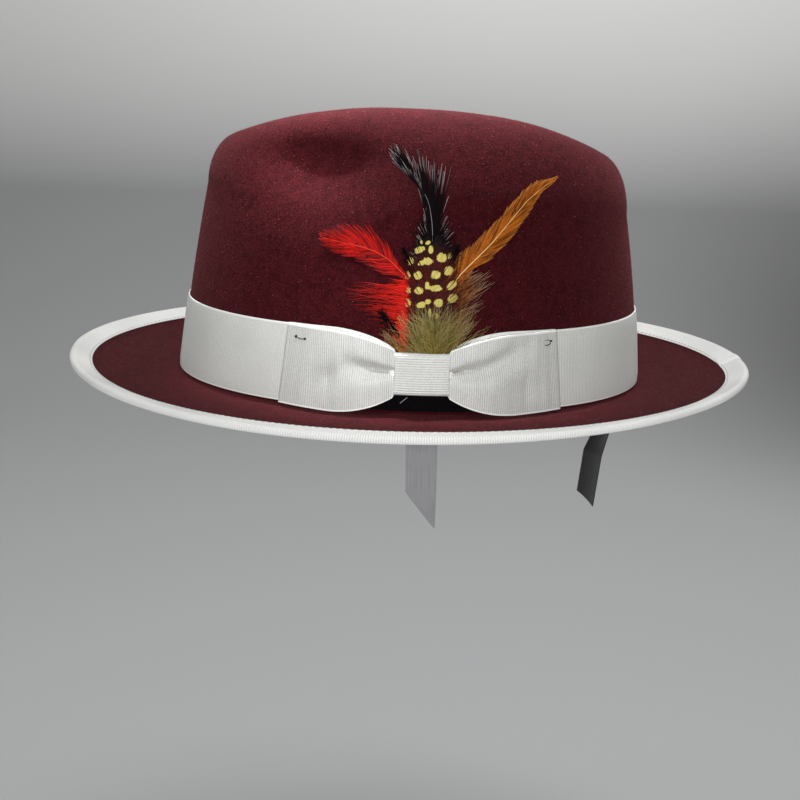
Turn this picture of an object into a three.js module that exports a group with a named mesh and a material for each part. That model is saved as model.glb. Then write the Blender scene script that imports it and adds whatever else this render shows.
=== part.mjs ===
// A felt fedora with a teardrop crown, a ribbon-bound brim and a ribbon hat band.
// A flat bow with a black pad and five feathers sits on the wearer's left side,
// and two ribbon tails hang from inside the crown, one at that side and one at the rear.
//
// Millimetres, +Z up. The front of the hat looks towards -X, its left side towards -Y.
// The origin is the middle of the head opening, where the brim meets the crown in front.
//
// Each piece is a grid of points, laid out by a function of a turn round the hat
// and a station along its section, and then closed into one skin.

import * as THREE from "three";

// ---------- driving sizes ----------

const GAP = 0.3; // clearance that neighbouring pieces keep

const FELT = {
  thick: 1.8,
  columns: 72, // facets round the hat
  cornerRadius: 1.5, // where the crown's wall meets the brim
};

// The crown's wall is an oval that leans in as it rises: by lean for each mm up,
// and by bend more for each mm squared.
const WALL = {
  halfLength: 108,
  halfWidth: 87.3,
  front: { lean: 0.115, bend: 0.0004 },
  rear: { lean: 0.07, bend: 0.0008 },
  sides: { lean: 0.075, bend: 0.0003 },
  sideRise: 0.9, // how much higher the brim joins the sides than the front
};

// The ridge is the highest line of the crown. It runs round the dent in the top.
const RIDGE = {
  top: 123.2,
  topAtX: -8,
  front: { reach: 74, drop: 16.2, power: 2.05 },
  rear: { reach: 84, drop: 15.8, power: 2.65 },
  lowerAtRight: 5, // the right side's ridge has settled
  shareAtSides: 0.6, // its place between the middle and the wall
  shareAtEnds: 0.83,
  narrowerInFront: 0.1,
  shoulder: { front: 86, rear: 77, sides: 74 }, // heights where the wall turns inwards
};

const DENT = { middleX: 6, floor: 97 };

// Facets down the felt, as shares of each stretch, and as degrees round the shoulder.
const FELT_STEPS = {
  dent: [0, 0.3, 0.55, 0.78, 0.92],
  shoulder: [0, 15, 31, 47, 63, 77, 90],
  wall: [0.3, 0.6, 0.85, 1],
  brim: [0, 0.4, 0.75, 0.88, 1],
};

// The two finger dents, one on each side of the crown's front.
const PINCH = {
  x: -44,
  z: 101,
  halfLength: 29,
  halfHeight: { above: 12, below: 19 },
  deep: 12.5,
  sink: 0.2, // how far it also sinks, as a share of its depth
  fadeNearMiddle: 26,
};

// The brim climbs from the crown and curls up along its last stretch.
const BRIM = {
  halfLength: 158.5,
  halfWidth: 137,
  straightShare: 0.5, // the rest of its climb is a curve that steepens outwards
  climb: { front: 4.8, rear: 6.4, left: 5.2, right: 4.4 },
  curl: { front: 2.6, rear: 2.6, left: -0.8, right: 2.4 },
  curlFrom: 0.75, // share of the width
  twist: 1.2, // how much higher its left side is at the rear than in the middle
};

const BINDING = { wide: 9.5, thick: 0.45, facets: 4 };

const BAND = { thick: 0.7, low: 0.9, high: 34.2, startX: -36, endX: 46, columns: 66 };

// The bow lies on the crown's left side. Distances are from its middle, measured along X.
const BOW = {
  middleX: 4.8,
  middleZ: 18.6,
  thick: 0.6,
  halfHeight: 16.9,
  heldTo: 11.2, // just past the knot's edge
  underKnot: 7.2, // half height as far as there
  pinched: 7.1, // how much lower the ribbon still is just past there
  pinchReach: 28,
  pinchPower: 2.2,
  endSpread: 1.8, // each end slants, so its lower corner stands further out
  spreadFrom: 40,
  spreadOver: 14,
  crease: 0.9, // how far the ribbon's middle sinks in beside the knot
  creaseReach: 10,
  foldFacets: 3,
  acrossHeight: 5,
};

// How far the bow's two layers stand off the felt, at each distance from the knot's middle.
const BOW_SECTIONS = [
  { from: 0, front: 5.3, back: 4.3 },
  { from: 6, front: 5.3, back: 4.3 },
  { from: 11.2, front: 5.3, back: 4.3 },
  { from: 14, front: 5.8, back: 3.7 },
  { from: 18, front: 6.3, back: 2.7 },
  { from: 23, front: 6.7, back: 1.9 },
  { from: 29, front: 6.8, back: 1.9 },
  { from: 35, front: 6.5, back: 1.9 },
  { from: 41, front: 6.0, back: 1.9 },
  { from: 47, front: 5.3, back: 1.9 },
  { from: 51, front: 4.6, back: 1.9 },
  { from: 55.3, front: 3.9, back: 1.9 },
];

const KNOT = {
  halfWide: 11,
  low: 9.9,
  high: 27.2,
  inner: 2.8, // its back strap's distance from the felt
  outer: 6.9,
  thick: 0.9,
  cornerRadius: 1.4,
  across: 4,
};

const PAD = { fromX: -28, toX: 40, low: 1.0, high: 26.5, thick: 1.0, columns: 14 };

// Feathers: the quill's x and z on the crown's left side, how far the blade stands off
// the felt, and how far the blade reaches to the left and right of the quill.
const quillAt = (x, z) => ({ x, z, off: 2.05, left: 0.8, right: 0.8 });
const FEATHERS = {
  feather_red: {
    colour: 0x8a1a10,
    thick: 0.9,
    stations: [
      quillAt(-2.5, 11),
      quillAt(-2.5, 28),
      { x: -2.5, z: 33, off: 0.9, left: 3, right: 1 },
      { x: -2.8, z: 44, off: 0.9, left: 10, right: 4 },
      { x: -4.5, z: 54, off: 0.9, left: 13, right: 5 },
      { x: -9, z: 61, off: 1.0, left: 13, right: 7 },
      { x: -17.5, z: 66.5, off: 1.1, left: 11, right: 9 },
      { x: -29, z: 69.5, off: 1.3, left: 8, right: 6 },
      { x: -39.5, z: 72, off: 1.6, left: 1, right: 1 },
    ],
  },
  feather_black: {
    colour: 0x0a0809,
    thick: 0.9,
    stations: [
      quillAt(1.5, 11),
      quillAt(1.5, 28),
      { x: 2, z: 33, off: 2.1, left: 1, right: 1 },
      { x: 6, z: 55, off: 2.1, left: 4, right: 4 },
      { x: 9.5, z: 70, off: 2.1, left: 9, right: 8 },
      { x: 9.5, z: 79, off: 2.1, left: 6, right: 6 },
      { x: 6.5, z: 88.5, off: 2.2, left: 4, right: 5.5 },
      { x: 0, z: 100, off: 2.4, left: 5, right: 4 },
      { x: -10.5, z: 109.5, off: 2.8, left: 0.8, right: 0.8 },
    ],
  },
  feather_spotted: {
    colour: 0x3a120c,
    thick: 0.9,
    stations: [
      quillAt(5.5, 11),
      quillAt(5.5, 28),
      { x: 6, z: 33, off: 3.3, left: 1, right: 1 },
      { x: 7.5, z: 42, off: 3.3, left: 9.5, right: 9.5 },
      { x: 7.8, z: 52, off: 3.4, left: 11.5, right: 11.5 },
      { x: 7.8, z: 61, off: 3.5, left: 11, right: 11 },
      { x: 7.5, z: 68, off: 3.5, left: 8.5, right: 8.5 },
      { x: 7.2, z: 73.5, off: 3.6, left: 3, right: 3 },
    ],
  },
  feather_down: {
    colour: 0x6b5a2c,
    thick: 1.2,
    stations: [
      quillAt(9.5, 11),
      quillAt(9.5, 28),
      { x: 9.5, z: 32, off: 4.7, left: 7, right: 7 },
      { x: 9.5, z: 35, off: 4.8, left: 12.5, right: 12.5 },
      { x: 9.5, z: 42, off: 4.8, left: 12, right: 12 },
      { x: 9.5, z: 47, off: 4.8, left: 8, right: 8 },
      { x: 9.5, z: 51, off: 4.8, left: 2.5, right: 2.5 },
    ],
  },
  feather_brown: {
    colour: 0x8c5527,
    thick: 0.9,
    stations: [
      quillAt(13, 11),
      quillAt(13, 28),
      { x: 13.5, z: 33, off: 0.9, left: 1, right: 3 },
      { x: 17, z: 46, off: 0.9, left: 4, right: 9 },
      { x: 25, z: 58, off: 1.0, left: 7.5, right: 9 },
      { x: 38.5, z: 75.5, off: 1.2, left: 6.5, right: 6 },
      { x: 50, z: 88.5, off: 1.5, left: 3, right: 4 },
      { x: 59, z: 98, off: 1.8, left: 0.5, right: 0.5 },
    ],
  },
};

// The ribbon tails. Their top ends are tacked inside the crown between two heights.
// Then near and far are the ribbon's two edges on the way down to the cut end.
const TAIL = { thick: 0.6, tackedFrom: 12, tackedTo: 2 };
const TAILS = {
  ribbon_tail_side: {
    colour: 0x8f8f92,
    stations: [
      { near: [-0.4, -82.6, -14], far: [13.0, -82.2, -14] },
      { near: [0.0, -80.4, -36], far: [13.4, -80.0, -36] },
      { near: [12.4, -78.8, -52], far: [13.4, -78.6, -52.9] },
    ],
  },
  ribbon_tail_rear: {
    colour: 0x141418,
    stations: [
      { near: [100.6, -5, -16], far: [98.6, 8.8, -16] },
      { near: [95.4, -3, -41], far: [88.6, 9.4, -41] },
      { near: [93.2, -2, -66.8], far: [86.8, 10, -62.8] },
    ],
  },
};

// ---------- helpers ----------

const { sin, cos, acos, atan2, abs, exp, hypot, sign, PI } = Math;
const mix = (a, b, t) => a + (b - a) * t;
const clamp = (v) => Math.min(1, Math.max(0, v));
const smooth = (v) => clamp(v) ** 2 * (3 - 2 * clamp(v));
const count = (n) => Array.from({ length: n }, (_, i) => i);
const point = (x, y, z) => new THREE.Vector3(x, y, z);
const along = (p, direction, distance) => p.clone().addScaledVector(direction, distance);

// Joins a grid of points, rings[i][j], into one closed skin with its faces out.
// loops says whether the last ring meets the first, or else both end rings are capped.
// tubes says whether each ring closes, or else it runs from one pole to the other.
function skin(rings, { loops, tubes }) {
  const n = rings.length;
  const m = rings[0].length;
  const points = rings.flat();
  const faces = [];
  const add = (a, b, c) => {
    const [p, q, r] = [points[a], points[b], points[c]];
    const near = 1e-4;
    if (p.distanceTo(q) > near && q.distanceTo(r) > near && r.distanceTo(p) > near) {
      faces.push(a, b, c);
    }
  };
  for (let i = 0; i < (loops ? n : n - 1); i++) {
    for (let j = 0; j < (tubes ? m : m - 1); j++) {
      const a = i * m + j;
      const b = i * m + ((j + 1) % m);
      const c = ((i + 1) % n) * m + j;
      const d = ((i + 1) % n) * m + ((j + 1) % m);
      add(a, c, b);
      add(b, c, d);
    }
  }
  if (!loops) {
    const last = (n - 1) * m;
    for (let j = 0; j < m / 2 - 1; j++) {
      const k = m - 1 - j;
      add(j, j + 1, k);
      add(j + 1, k - 1, k);
      add(last + j, last + k, last + j + 1);
      add(last + j + 1, last + k, last + k - 1);
    }
  }
  let volume = 0;
  for (let f = 0; f < faces.length; f += 3) {
    const [a, b, c] = faces.slice(f, f + 3).map((v) => points[v]);
    volume += a.dot(b.clone().cross(c));
  }
  if (volume < 0) faces.reverse();
  const geometry = new THREE.BufferGeometry().setFromPoints(points);
  geometry.setIndex(faces);
  geometry.computeVertexNormals();
  return geometry;
}

const hat = new THREE.Group();
hat.name = "fedora";

function addPiece(name, geometry, colour, roughness) {
  const material = new THREE.MeshStandardMaterial({ color: colour, roughness, metalness: 0 });
  const mesh = new THREE.Mesh(geometry, material);
  mesh.name = name;
  hat.add(mesh);
}

// ---------- the crown's wall, which most pieces follow ----------

const sideRise = (turn) => WALL.sideRise * sin(turn) ** 2;

const leanIn = ({ lean, bend }, z) => lean * z + bend * z * abs(z);

function wallAt(turn, z) {
  const end = cos(turn) < 0 ? WALL.front : WALL.rear;
  const x = (WALL.halfLength - leanIn(end, z)) * cos(turn);
  const y = (WALL.halfWidth - leanIn(WALL.sides, z)) * sin(turn);
  return point(x, y, z);
}

function outFromWall(turn) {
  return point(cos(turn) / WALL.halfLength, sin(turn) / WALL.halfWidth, 0).normalize();
}

// Turn on the left side whose wall point has this x at this height.
function leftTurn(x, z) {
  const reach = abs(wallAt(x < 0 ? PI : 0, z).x);
  return -acos(x / reach);
}

// A point on the left side, by x, height and distance off the felt.
function onLeft(x, z, off) {
  const turn = leftTurn(x, z);
  return along(wallAt(turn, z), outFromWall(turn), off);
}

// ---------- felt body: crown and brim in one ----------

function ridgeHeight(x) {
  const half = x < RIDGE.topAtX ? RIDGE.front : RIDGE.rear;
  return RIDGE.top - half.drop * (abs(x - RIDGE.topAtX) / half.reach) ** half.power;
}

function pinched(p) {
  const halfHeight = p.z > PINCH.z ? PINCH.halfHeight.above : PINCH.halfHeight.below;
  const reach = hypot((p.x - PINCH.x) / PINCH.halfLength, (p.z - PINCH.z) / halfHeight);
  const push = PINCH.deep * exp(-(reach ** 2)) * smooth(abs(p.y) / PINCH.fadeNearMiddle);
  return point(p.x, p.y - sign(p.y) * push, p.z - PINCH.sink * push);
}

// The crown's top, shoulder and wall in one direction from the middle.
function crownSection(turn) {
  const sides = sin(turn) ** 2;
  const inFront = cos(turn) < 0;
  const { front, rear } = RIDGE.shoulder;
  const shoulderZ = mix(inFront ? front : rear, RIDGE.shoulder.sides, sides);
  const wallTop = wallAt(turn, shoulderZ);
  const narrower = inFront ? RIDGE.narrowerInFront * sin(2 * turn) ** 2 : 0;
  const share = mix(RIDGE.shareAtEnds, RIDGE.shareAtSides, sides) - narrower;
  const ridge = point(wallTop.x * share, wallTop.y * share, 0);
  ridge.z = ridgeHeight(ridge.x) - (sin(turn) > 0 ? RIDGE.lowerAtRight * sides : 0);

  const dent = FELT_STEPS.dent.map((t) =>
    point(
      mix(DENT.middleX, ridge.x, t),
      mix(0, ridge.y, t),
      mix(DENT.floor, ridge.z, smooth(t)),
    ),
  );
  const shoulder = FELT_STEPS.shoulder.map((degrees) => {
    const a = (degrees * PI) / 180;
    return point(
      mix(ridge.x, wallTop.x, sin(a)),
      mix(ridge.y, wallTop.y, sin(a)),
      mix(shoulderZ, ridge.z, cos(a)),
    );
  });
  const foot = sideRise(turn) + FELT.cornerRadius;
  const wall = FELT_STEPS.wall.map((t) => wallAt(turn, mix(shoulderZ, foot, t)));
  return [...dent, ...shoulder, ...wall].map(pinched);
}

// The value for this direction, between those for the four sides.
function roundBrim({ front, rear, left, right }, turn) {
  return mix(cos(turn) < 0 ? front : rear, sin(turn) < 0 ? left : right, sin(turn) ** 2);
}

// Where the brim's felt is at share t of its width, with the directions along and off it.
function brimAt(turn, t) {
  const r = FELT.cornerRadius;
  const foot = along(wallAt(turn, 0), outFromWall(turn), r);
  const roll = FELT.thick / 2 + GAP + BINDING.thick;
  const edge = point(
    (BRIM.halfLength - roll) * cos(turn),
    (BRIM.halfWidth - roll) * sin(turn),
    0,
  );
  const width = foot.distanceTo(edge);
  const twist = sin(turn) < 0 ? -BRIM.twist * sin(2 * turn) : 0;
  const climb = roundBrim(BRIM.climb, turn) + twist - sideRise(turn);
  const curl = roundBrim(BRIM.curl, turn);
  const straight = BRIM.straightShare;
  const past = clamp((t - BRIM.curlFrom) / (1 - BRIM.curlFrom));
  const at = foot.clone().lerp(edge, t);
  at.z = sideRise(turn) + climb * (straight * t + (1 - straight) * t * t) + curl * past ** 2;
  const steepness = climb * (straight + 2 * (1 - straight) * t);
  const slope = (steepness + (2 * curl * past) / (1 - BRIM.curlFrom)) / width;
  const flat = edge.clone().sub(foot).normalize();
  const out = point(flat.x, flat.y, slope).normalize();
  const up = point(-flat.x * slope, -flat.y * slope, 1).normalize();
  return { at, out, up, width };
}

function feltSection(turn) {
  const crown = crownSection(turn);
  const r = FELT.cornerRadius;
  const foot = crown.at(-1);
  const flat = outFromWall(turn);
  const corner = along(foot, flat, r * (1 - cos(PI / 4)));
  corner.z -= r * sin(PI / 4);
  const brim = FELT_STEPS.brim.map((t) => brimAt(turn, t).at);
  return [...crown, corner, ...brim];
}

function feltBody() {
  const n = FELT.columns;
  const outer = count(n).map((i) => feltSection((2 * PI * i) / n));
  const last = outer[0].length - 1;
  // The inner face lies one thickness in from the outer face, square to it.
  const inner = outer.map((ring, i) =>
    ring.map((p, j) => {
      if (j === 0) return point(p.x, p.y, p.z - FELT.thick);
      const round = outer[(i + 1) % n][j].clone().sub(outer[(i + n - 1) % n][j]);
      const down = ring[Math.min(last, j + 1)].clone().sub(ring[j - 1]);
      return along(p, down.cross(round).normalize(), -FELT.thick);
    }),
  );
  const rings = outer.map((ring, i) => [...ring, ...inner[i].reverse()]);
  return skin(rings, { loops: true, tubes: false });
}

// ---------- ribbons on the brim and the crown ----------

// The binding is folded round the brim's edge: a leaf above, a roll, a leaf below.
function bindingSection(turn) {
  const edge = brimAt(turn, 1);
  const innerRoll = FELT.thick / 2 + GAP;
  const leaf = BINDING.wide - innerRoll - BINDING.thick;
  const fold = (raise) => {
    const side = (t, s) => {
      const on = brimAt(turn, t);
      const middle = along(on.at, on.up, -FELT.thick / 2);
      return along(middle, on.up, s * raise);
    };
    const inEnd = 1 - leaf / edge.width;
    const halfWay = 1 - leaf / edge.width / 2;
    const middle = along(edge.at, edge.up, -FELT.thick / 2);
    const roll = count(BINDING.facets + 1).map((i) => {
      const a = PI / 2 - (PI * i) / BINDING.facets;
      return along(along(middle, edge.out, raise * cos(a)), edge.up, raise * sin(a));
    });
    return [side(inEnd, 1), side(halfWay, 1), ...roll, side(halfWay, -1), side(inEnd, -1)];
  };
  return [...fold(innerRoll + BINDING.thick), ...fold(innerRoll).reverse()];
}

function binding() {
  const n = FELT.columns;
  const rings = count(n).map((i) => bindingSection((2 * PI * i) / n));
  return skin(rings, { loops: true, tubes: true });
}

// A strip that lies on the wall: two heights, an inner face and an outer face.
function wallStrip(fromTurn, toTurn, columns, low, high, thick) {
  const rings = count(columns + 1).map((i) => {
    const turn = mix(fromTurn, toTurn, i / columns);
    const out = outFromWall(turn);
    const heights = [low, mix(low, high, 0.5), high].map((h) => h + sideRise(turn));
    const face = (off) => heights.map((z) => along(wallAt(turn, z), out, off));
    return [...face(GAP), ...face(GAP + thick).reverse()];
  });
  return skin(rings, { loops: false, tubes: true });
}

function band() {
  const from = leftTurn(BAND.endX, 0);
  const to = leftTurn(BAND.startX, 0) + 2 * PI;
  return wallStrip(from, to, BAND.columns, BAND.low, BAND.high, BAND.thick);
}

function pad() {
  const from = leftTurn(PAD.fromX, 0);
  const to = leftTurn(PAD.toX, 0);
  return wallStrip(from, to, PAD.columns, PAD.low, PAD.high, PAD.thick);
}

// ---------- bow and knot ----------

// Half the bow ribbon's height at a distance from the knot's middle.
function bowHalfHeight(distance) {
  if (distance <= BOW.heldTo) return BOW.underKnot;
  const past = clamp((distance - KNOT.halfWide) / BOW.pinchReach);
  return BOW.halfHeight - BOW.pinched * (1 - past) ** BOW.pinchPower;
}

// One ring across the ribbon, x away from the bow's middle. tilt turns its face
// from straight out, 0, over the fold at an end, to straight in, PI.
function bowRing(x, off, tilt) {
  const distance = abs(x);
  const half = bowHalfHeight(distance);
  const m = BOW.acrossHeight;
  const spread = sign(x) * smooth((distance - BOW.spreadFrom) / BOW.spreadOver) * BOW.endSpread;
  const creased = tilt === 0 && distance >= BOW.heldTo;
  const fade = exp(-(((distance - KNOT.halfWide) / BOW.creaseReach) ** 2));
  const crease = creased ? BOW.crease * fade : 0;
  const face = (side) =>
    count(m).map((j) => {
      const v = mix(-1, 1, j / (m - 1));
      const reach = (side * BOW.thick) / 2;
      const onX = BOW.middleX + x - spread * v + sign(x) * reach * sin(tilt);
      const offFelt = off - crease * (1 - abs(v)) + reach * cos(tilt);
      return onLeft(onX, BOW.middleZ + half * v, offFelt);
    });
  return [...face(1), ...face(-1).reverse()];
}

function bow() {
  const layer = (column, tilt, side) =>
    BOW_SECTIONS.map((row) => bowRing(side * row.from, row[column], tilt));
  // The fold at each end turns the front layer into the back layer.
  const end = BOW_SECTIONS.at(-1);
  const radius = (end.front - end.back) / 2;
  const fold = (side) =>
    count(BOW.foldFacets).map((i) => {
      const a = (PI * (i + 1)) / (BOW.foldFacets + 1);
      const x = side * (end.from + radius * sin(a));
      return bowRing(x, end.back + radius + radius * cos(a), a);
    });
  const rings = [
    ...layer("front", 0, -1).reverse(),
    ...layer("front", 0, 1).slice(1),
    ...fold(1),
    ...layer("back", PI, 1).reverse(),
    ...layer("back", PI, -1).slice(1),
    ...fold(-1).reverse(),
  ];
  return skin(rings, { loops: true, tubes: true });
}

// A strap wound round the bow's waist, as a rounded rectangle seen from its end.
function knot() {
  const { low, high, inner, outer, thick, cornerRadius, across } = KNOT;
  const corners = [
    { z: high, off: outer, up: 1, away: 1, start: 0 },
    { z: low, off: outer, up: -1, away: 1, start: 90 },
    { z: low, off: inner, up: -1, away: -1, start: 180 },
    { z: high, off: inner, up: 1, away: -1, start: 270 },
  ];
  const path = (inset) => {
    const r = cornerRadius - inset;
    return corners.flatMap((corner) =>
      count(4).map((i) => {
        const a = ((corner.start + i * 30) * PI) / 180;
        const z = corner.z - corner.up * cornerRadius + r * cos(a);
        const off = corner.off - corner.away * cornerRadius + r * sin(a);
        return { z, off };
      }),
    );
  };
  const outerPath = path(0);
  const innerPath = path(thick);
  const rings = outerPath.map((_, i) => {
    const face = (at) =>
      count(across + 1).map((j) => {
        const x = BOW.middleX + mix(-KNOT.halfWide, KNOT.halfWide, j / across);
        return onLeft(x, at.z, at.off);
      });
    return [...face(outerPath[i]), ...face(innerPath[i]).reverse()];
  });
  return skin(rings, { loops: true, tubes: true });
}

// ---------- feathers and tails ----------

// A blade with a thin lens section: both edges sharp, thickest along the quill.
function feather({ thick, stations }) {
  const rings = stations.map(({ x, z, off, left, right }, i) => {
    const before = stations[Math.max(0, i - 1)];
    const after = stations[Math.min(stations.length - 1, i + 1)];
    const run = hypot(after.x - before.x, after.z - before.z);
    const aside = (reach) => {
      const sideX = ((after.z - before.z) / run) * reach;
      const sideZ = ((before.x - after.x) / run) * reach;
      return onLeft(x + sideX, z + sideZ, off);
    };
    return [
      aside(right),
      onLeft(x, z, off + thick / 2),
      aside(-left),
      onLeft(x, z, off - thick / 2),
    ];
  });
  return skin(rings, { loops: false, tubes: true });
}

// A point against the inner face of the crown's wall, beyond a given place.
function tackedAt([x, y], z) {
  const turn = atan2(y / WALL.halfWidth, x / WALL.halfLength);
  const depth = FELT.thick + GAP + TAIL.thick / 2;
  return along(wallAt(turn, z), outFromWall(turn), -depth);
}

function tail({ stations }) {
  const { near, far } = stations[0];
  const heights = [TAIL.tackedFrom, TAIL.tackedTo];
  const tacked = heights.map((z) => [tackedAt(near, z), tackedAt(far, z)]);
  const hanging = stations.map((at) => [point(...at.near), point(...at.far)]);
  const edges = [...tacked, ...hanging];
  const rings = edges.map(([a, b], i) => {
    const wide = b.clone().sub(a).setZ(0);
    const run = edges[Math.min(edges.length - 1, i + 1)][1].clone();
    run.sub(edges[Math.max(0, i - 1)][1]);
    const face = wide.cross(run).normalize();
    const half = TAIL.thick / 2;
    return [along(a, face, half), along(b, face, half), along(b, face, -half), along(a, face, -half)];
  });
  return skin(rings, { loops: false, tubes: true });
}

// ---------- the hat ----------

addPiece("felt_body", feltBody(), 0x4f181d, 0.95);
addPiece("brim_binding", binding(), 0xe4e4e0, 0.8);
addPiece("hat_band", band(), 0xbcbcb8, 0.75);
addPiece("feather_pad", pad(), 0x08070a, 0.9);
addPiece("bow_ribbon", bow(), 0xc8c9c4, 0.75);
addPiece("bow_knot", knot(), 0xd8d9d3, 0.75);
for (const [name, shape] of Object.entries(FEATHERS)) {
  addPiece(name, feather(shape), shape.colour, 0.7);
}
for (const [name, shape] of Object.entries(TAILS)) {
  addPiece(name, tail(shape), shape.colour, 0.7);
}

export default hat;
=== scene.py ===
# %% [markdown]
# # A felt fedora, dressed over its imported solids
# The hat is one blocked piece of felt with a teardrop crown. Grosgrain ribbon binds its
# brim and runs round its crown to a flat bow, five feathers stand behind the bow, and two
# ribbon tails hang from inside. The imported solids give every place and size. Each cell
# below remakes one piece of them with a fine surface and the finish of its material.

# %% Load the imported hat
import math

import bmesh
import bpy
import numpy as np
from mathutils import Matrix, Vector


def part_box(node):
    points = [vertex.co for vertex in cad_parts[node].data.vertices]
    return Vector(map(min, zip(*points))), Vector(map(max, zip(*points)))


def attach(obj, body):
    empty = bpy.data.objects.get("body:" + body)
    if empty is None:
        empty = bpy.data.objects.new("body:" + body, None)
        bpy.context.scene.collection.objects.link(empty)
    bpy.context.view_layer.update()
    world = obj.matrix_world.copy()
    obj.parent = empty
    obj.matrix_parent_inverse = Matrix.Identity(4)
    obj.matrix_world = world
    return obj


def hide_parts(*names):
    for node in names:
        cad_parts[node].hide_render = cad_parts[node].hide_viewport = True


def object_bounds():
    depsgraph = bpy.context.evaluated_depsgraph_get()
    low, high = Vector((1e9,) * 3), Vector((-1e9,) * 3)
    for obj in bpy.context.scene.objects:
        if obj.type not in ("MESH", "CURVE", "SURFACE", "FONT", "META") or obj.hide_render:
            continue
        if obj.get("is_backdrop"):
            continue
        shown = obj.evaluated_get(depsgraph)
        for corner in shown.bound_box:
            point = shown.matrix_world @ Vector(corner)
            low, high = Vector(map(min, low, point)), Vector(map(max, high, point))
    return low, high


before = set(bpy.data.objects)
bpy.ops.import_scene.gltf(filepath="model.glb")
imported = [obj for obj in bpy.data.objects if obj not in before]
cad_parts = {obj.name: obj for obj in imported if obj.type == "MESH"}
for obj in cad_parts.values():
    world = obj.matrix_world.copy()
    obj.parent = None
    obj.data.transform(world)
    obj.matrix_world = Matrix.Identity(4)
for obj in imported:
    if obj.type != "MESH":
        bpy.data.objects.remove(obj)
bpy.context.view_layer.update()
MM = 0.001  # shapes are worked out in millimetres, meshes are in metres

# %% [markdown]
# ## Nodes
# Materials and Geometry Nodes are graphs, and written out link by link a graph hides what it
# does. Two helpers keep them short. One adds a node and fills its inlets with numbers or
# with outlets of other nodes. The other wraps an outlet, so that the signs +, - and *
# between outlets add the Math nodes that work them out.

# %% Helpers for node trees
class Wire:
    """A node's outlet. The signs +, - and * between wires and numbers add Math nodes."""

    def __init__(self, outlet):
        self.outlet, self.tree = outlet, outlet.id_data

    def math(self, operation, *others):
        return node(self.tree, "ShaderNodeMath", self, *others, props={"operation": operation})[0]

    def __add__(self, other):
        return self.math("ADD", other)

    def __sub__(self, other):
        return self.math("SUBTRACT", other)

    def __mul__(self, other):
        return self.math("MULTIPLY", other)

    def __rsub__(self, number):
        return node(self.tree, "ShaderNodeMath", number, self, props={"operation": "SUBTRACT"})[0]


class Outlets:
    """A node's outlets as wires, by number or by name."""

    def __init__(self, made):
        self.made = made

    def __getitem__(self, key):
        return Wire(self.made.outputs[key])


def node(tree, kind, *inlets, props=None, numbered=None, **named):
    """Adds a node and fills its inlets: in order, by number, or by name with _ for a space."""
    made = tree.nodes.new(kind)
    for key, value in (props or {}).items():
        setattr(made, key, value)
    for key, value in {**dict(enumerate(inlets)), **(numbered or {}), **named}.items():
        inlet = made.inputs[key if isinstance(key, int) else key.replace("_", " ")]
        if isinstance(value, Wire):
            tree.links.new(value.outlet, inlet)
        else:
            inlet.default_value = value
    return Outlets(made)


def remap(value, low, high, to_low=0.0, to_high=1.0):
    """Maps low..high to to_low..to_high, and stops at both ends."""
    return node(value.tree, "ShaderNodeMapRange", value, low, high, to_low, to_high)[0]


def noise(at, scale, detail=2.0, distortion=0.0):
    made = node(at.tree, "ShaderNodeTexNoise", Vector=at, Scale=scale, Detail=detail, Distortion=distortion)
    return made["Fac"]


def colour(red, green, blue):
    """A colour given as on a paint chart, 0 to 255, for a shader inlet."""
    share = np.array([red, green, blue]) / 255
    linear = np.where(share <= 0.04045, share / 12.92, ((share + 0.055) / 1.055) ** 2.4)
    return (*(float(v) for v in linear), 1.0)


def blend(share, first, second):
    """Mixes two colours, each a wire or three numbers from a paint chart."""
    first, second = (c if isinstance(c, Wire) or len(c) == 4 else colour(*c) for c in (first, second))
    ends = {6: first, 7: second}
    return node(share.tree, "ShaderNodeMix", share, props={"data_type": "RGBA"}, numbered=ends)[2]


def new_material(name):
    """A material with only a principled shader. Returns it, its tree and the piece's places."""
    material = bpy.data.materials.new(name)
    material.use_nodes = True
    tree = material.node_tree
    return material, tree, node(tree, "ShaderNodeTexCoord")["Object"]


def finish(material, base, relief=None, **settings):
    """Ends a material: its colour, its relief as height, strength and depth in metres, and
    constants on the shader's own sockets."""
    shader = material.node_tree.nodes["Principled BSDF"]
    material.node_tree.links.new(base.outlet, shader.inputs["Base Color"])
    if relief:
        height, strength, depth = relief
        bumps = node(height.tree, "ShaderNodeBump", Strength=strength, Distance=depth, Height=height)
        material.node_tree.links.new(bumps[0].outlet, shader.inputs["Normal"])
    for label, value in settings.items():
        shader.inputs[label.replace("_", " ")].default_value = value
    return material


# %% [markdown]
# ## Camera and studio
# The hat is looked at from its left side, a little from above, as if worn by a person who
# faces left. It is held up at head height, so the tails hang free. A sweep, which is a
# floor that curves up into a wall, gives a background with no edge. Felt shows its shape by
# how it catches light, so three narrow spots pick out the crown's top, the pinch and the
# bow's creases. A soft lamp overhead and one beside the camera open the shadows, and a
# third lights the wall.

# %% The camera
VIEW_TARGET = np.array([-3.53, 0.0, -16.79])  # mm
VIEW_DISTANCE = 640.0
VIEW_HEIGHT = math.radians(14.96)  # above the horizon
VIEW_ROLL = math.radians(-2.04)
LENS, FILM_WIDTH = 59.6, 36.0  # mm
NEAREST, FURTHEST = 0.01, 50.0  # metres


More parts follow.
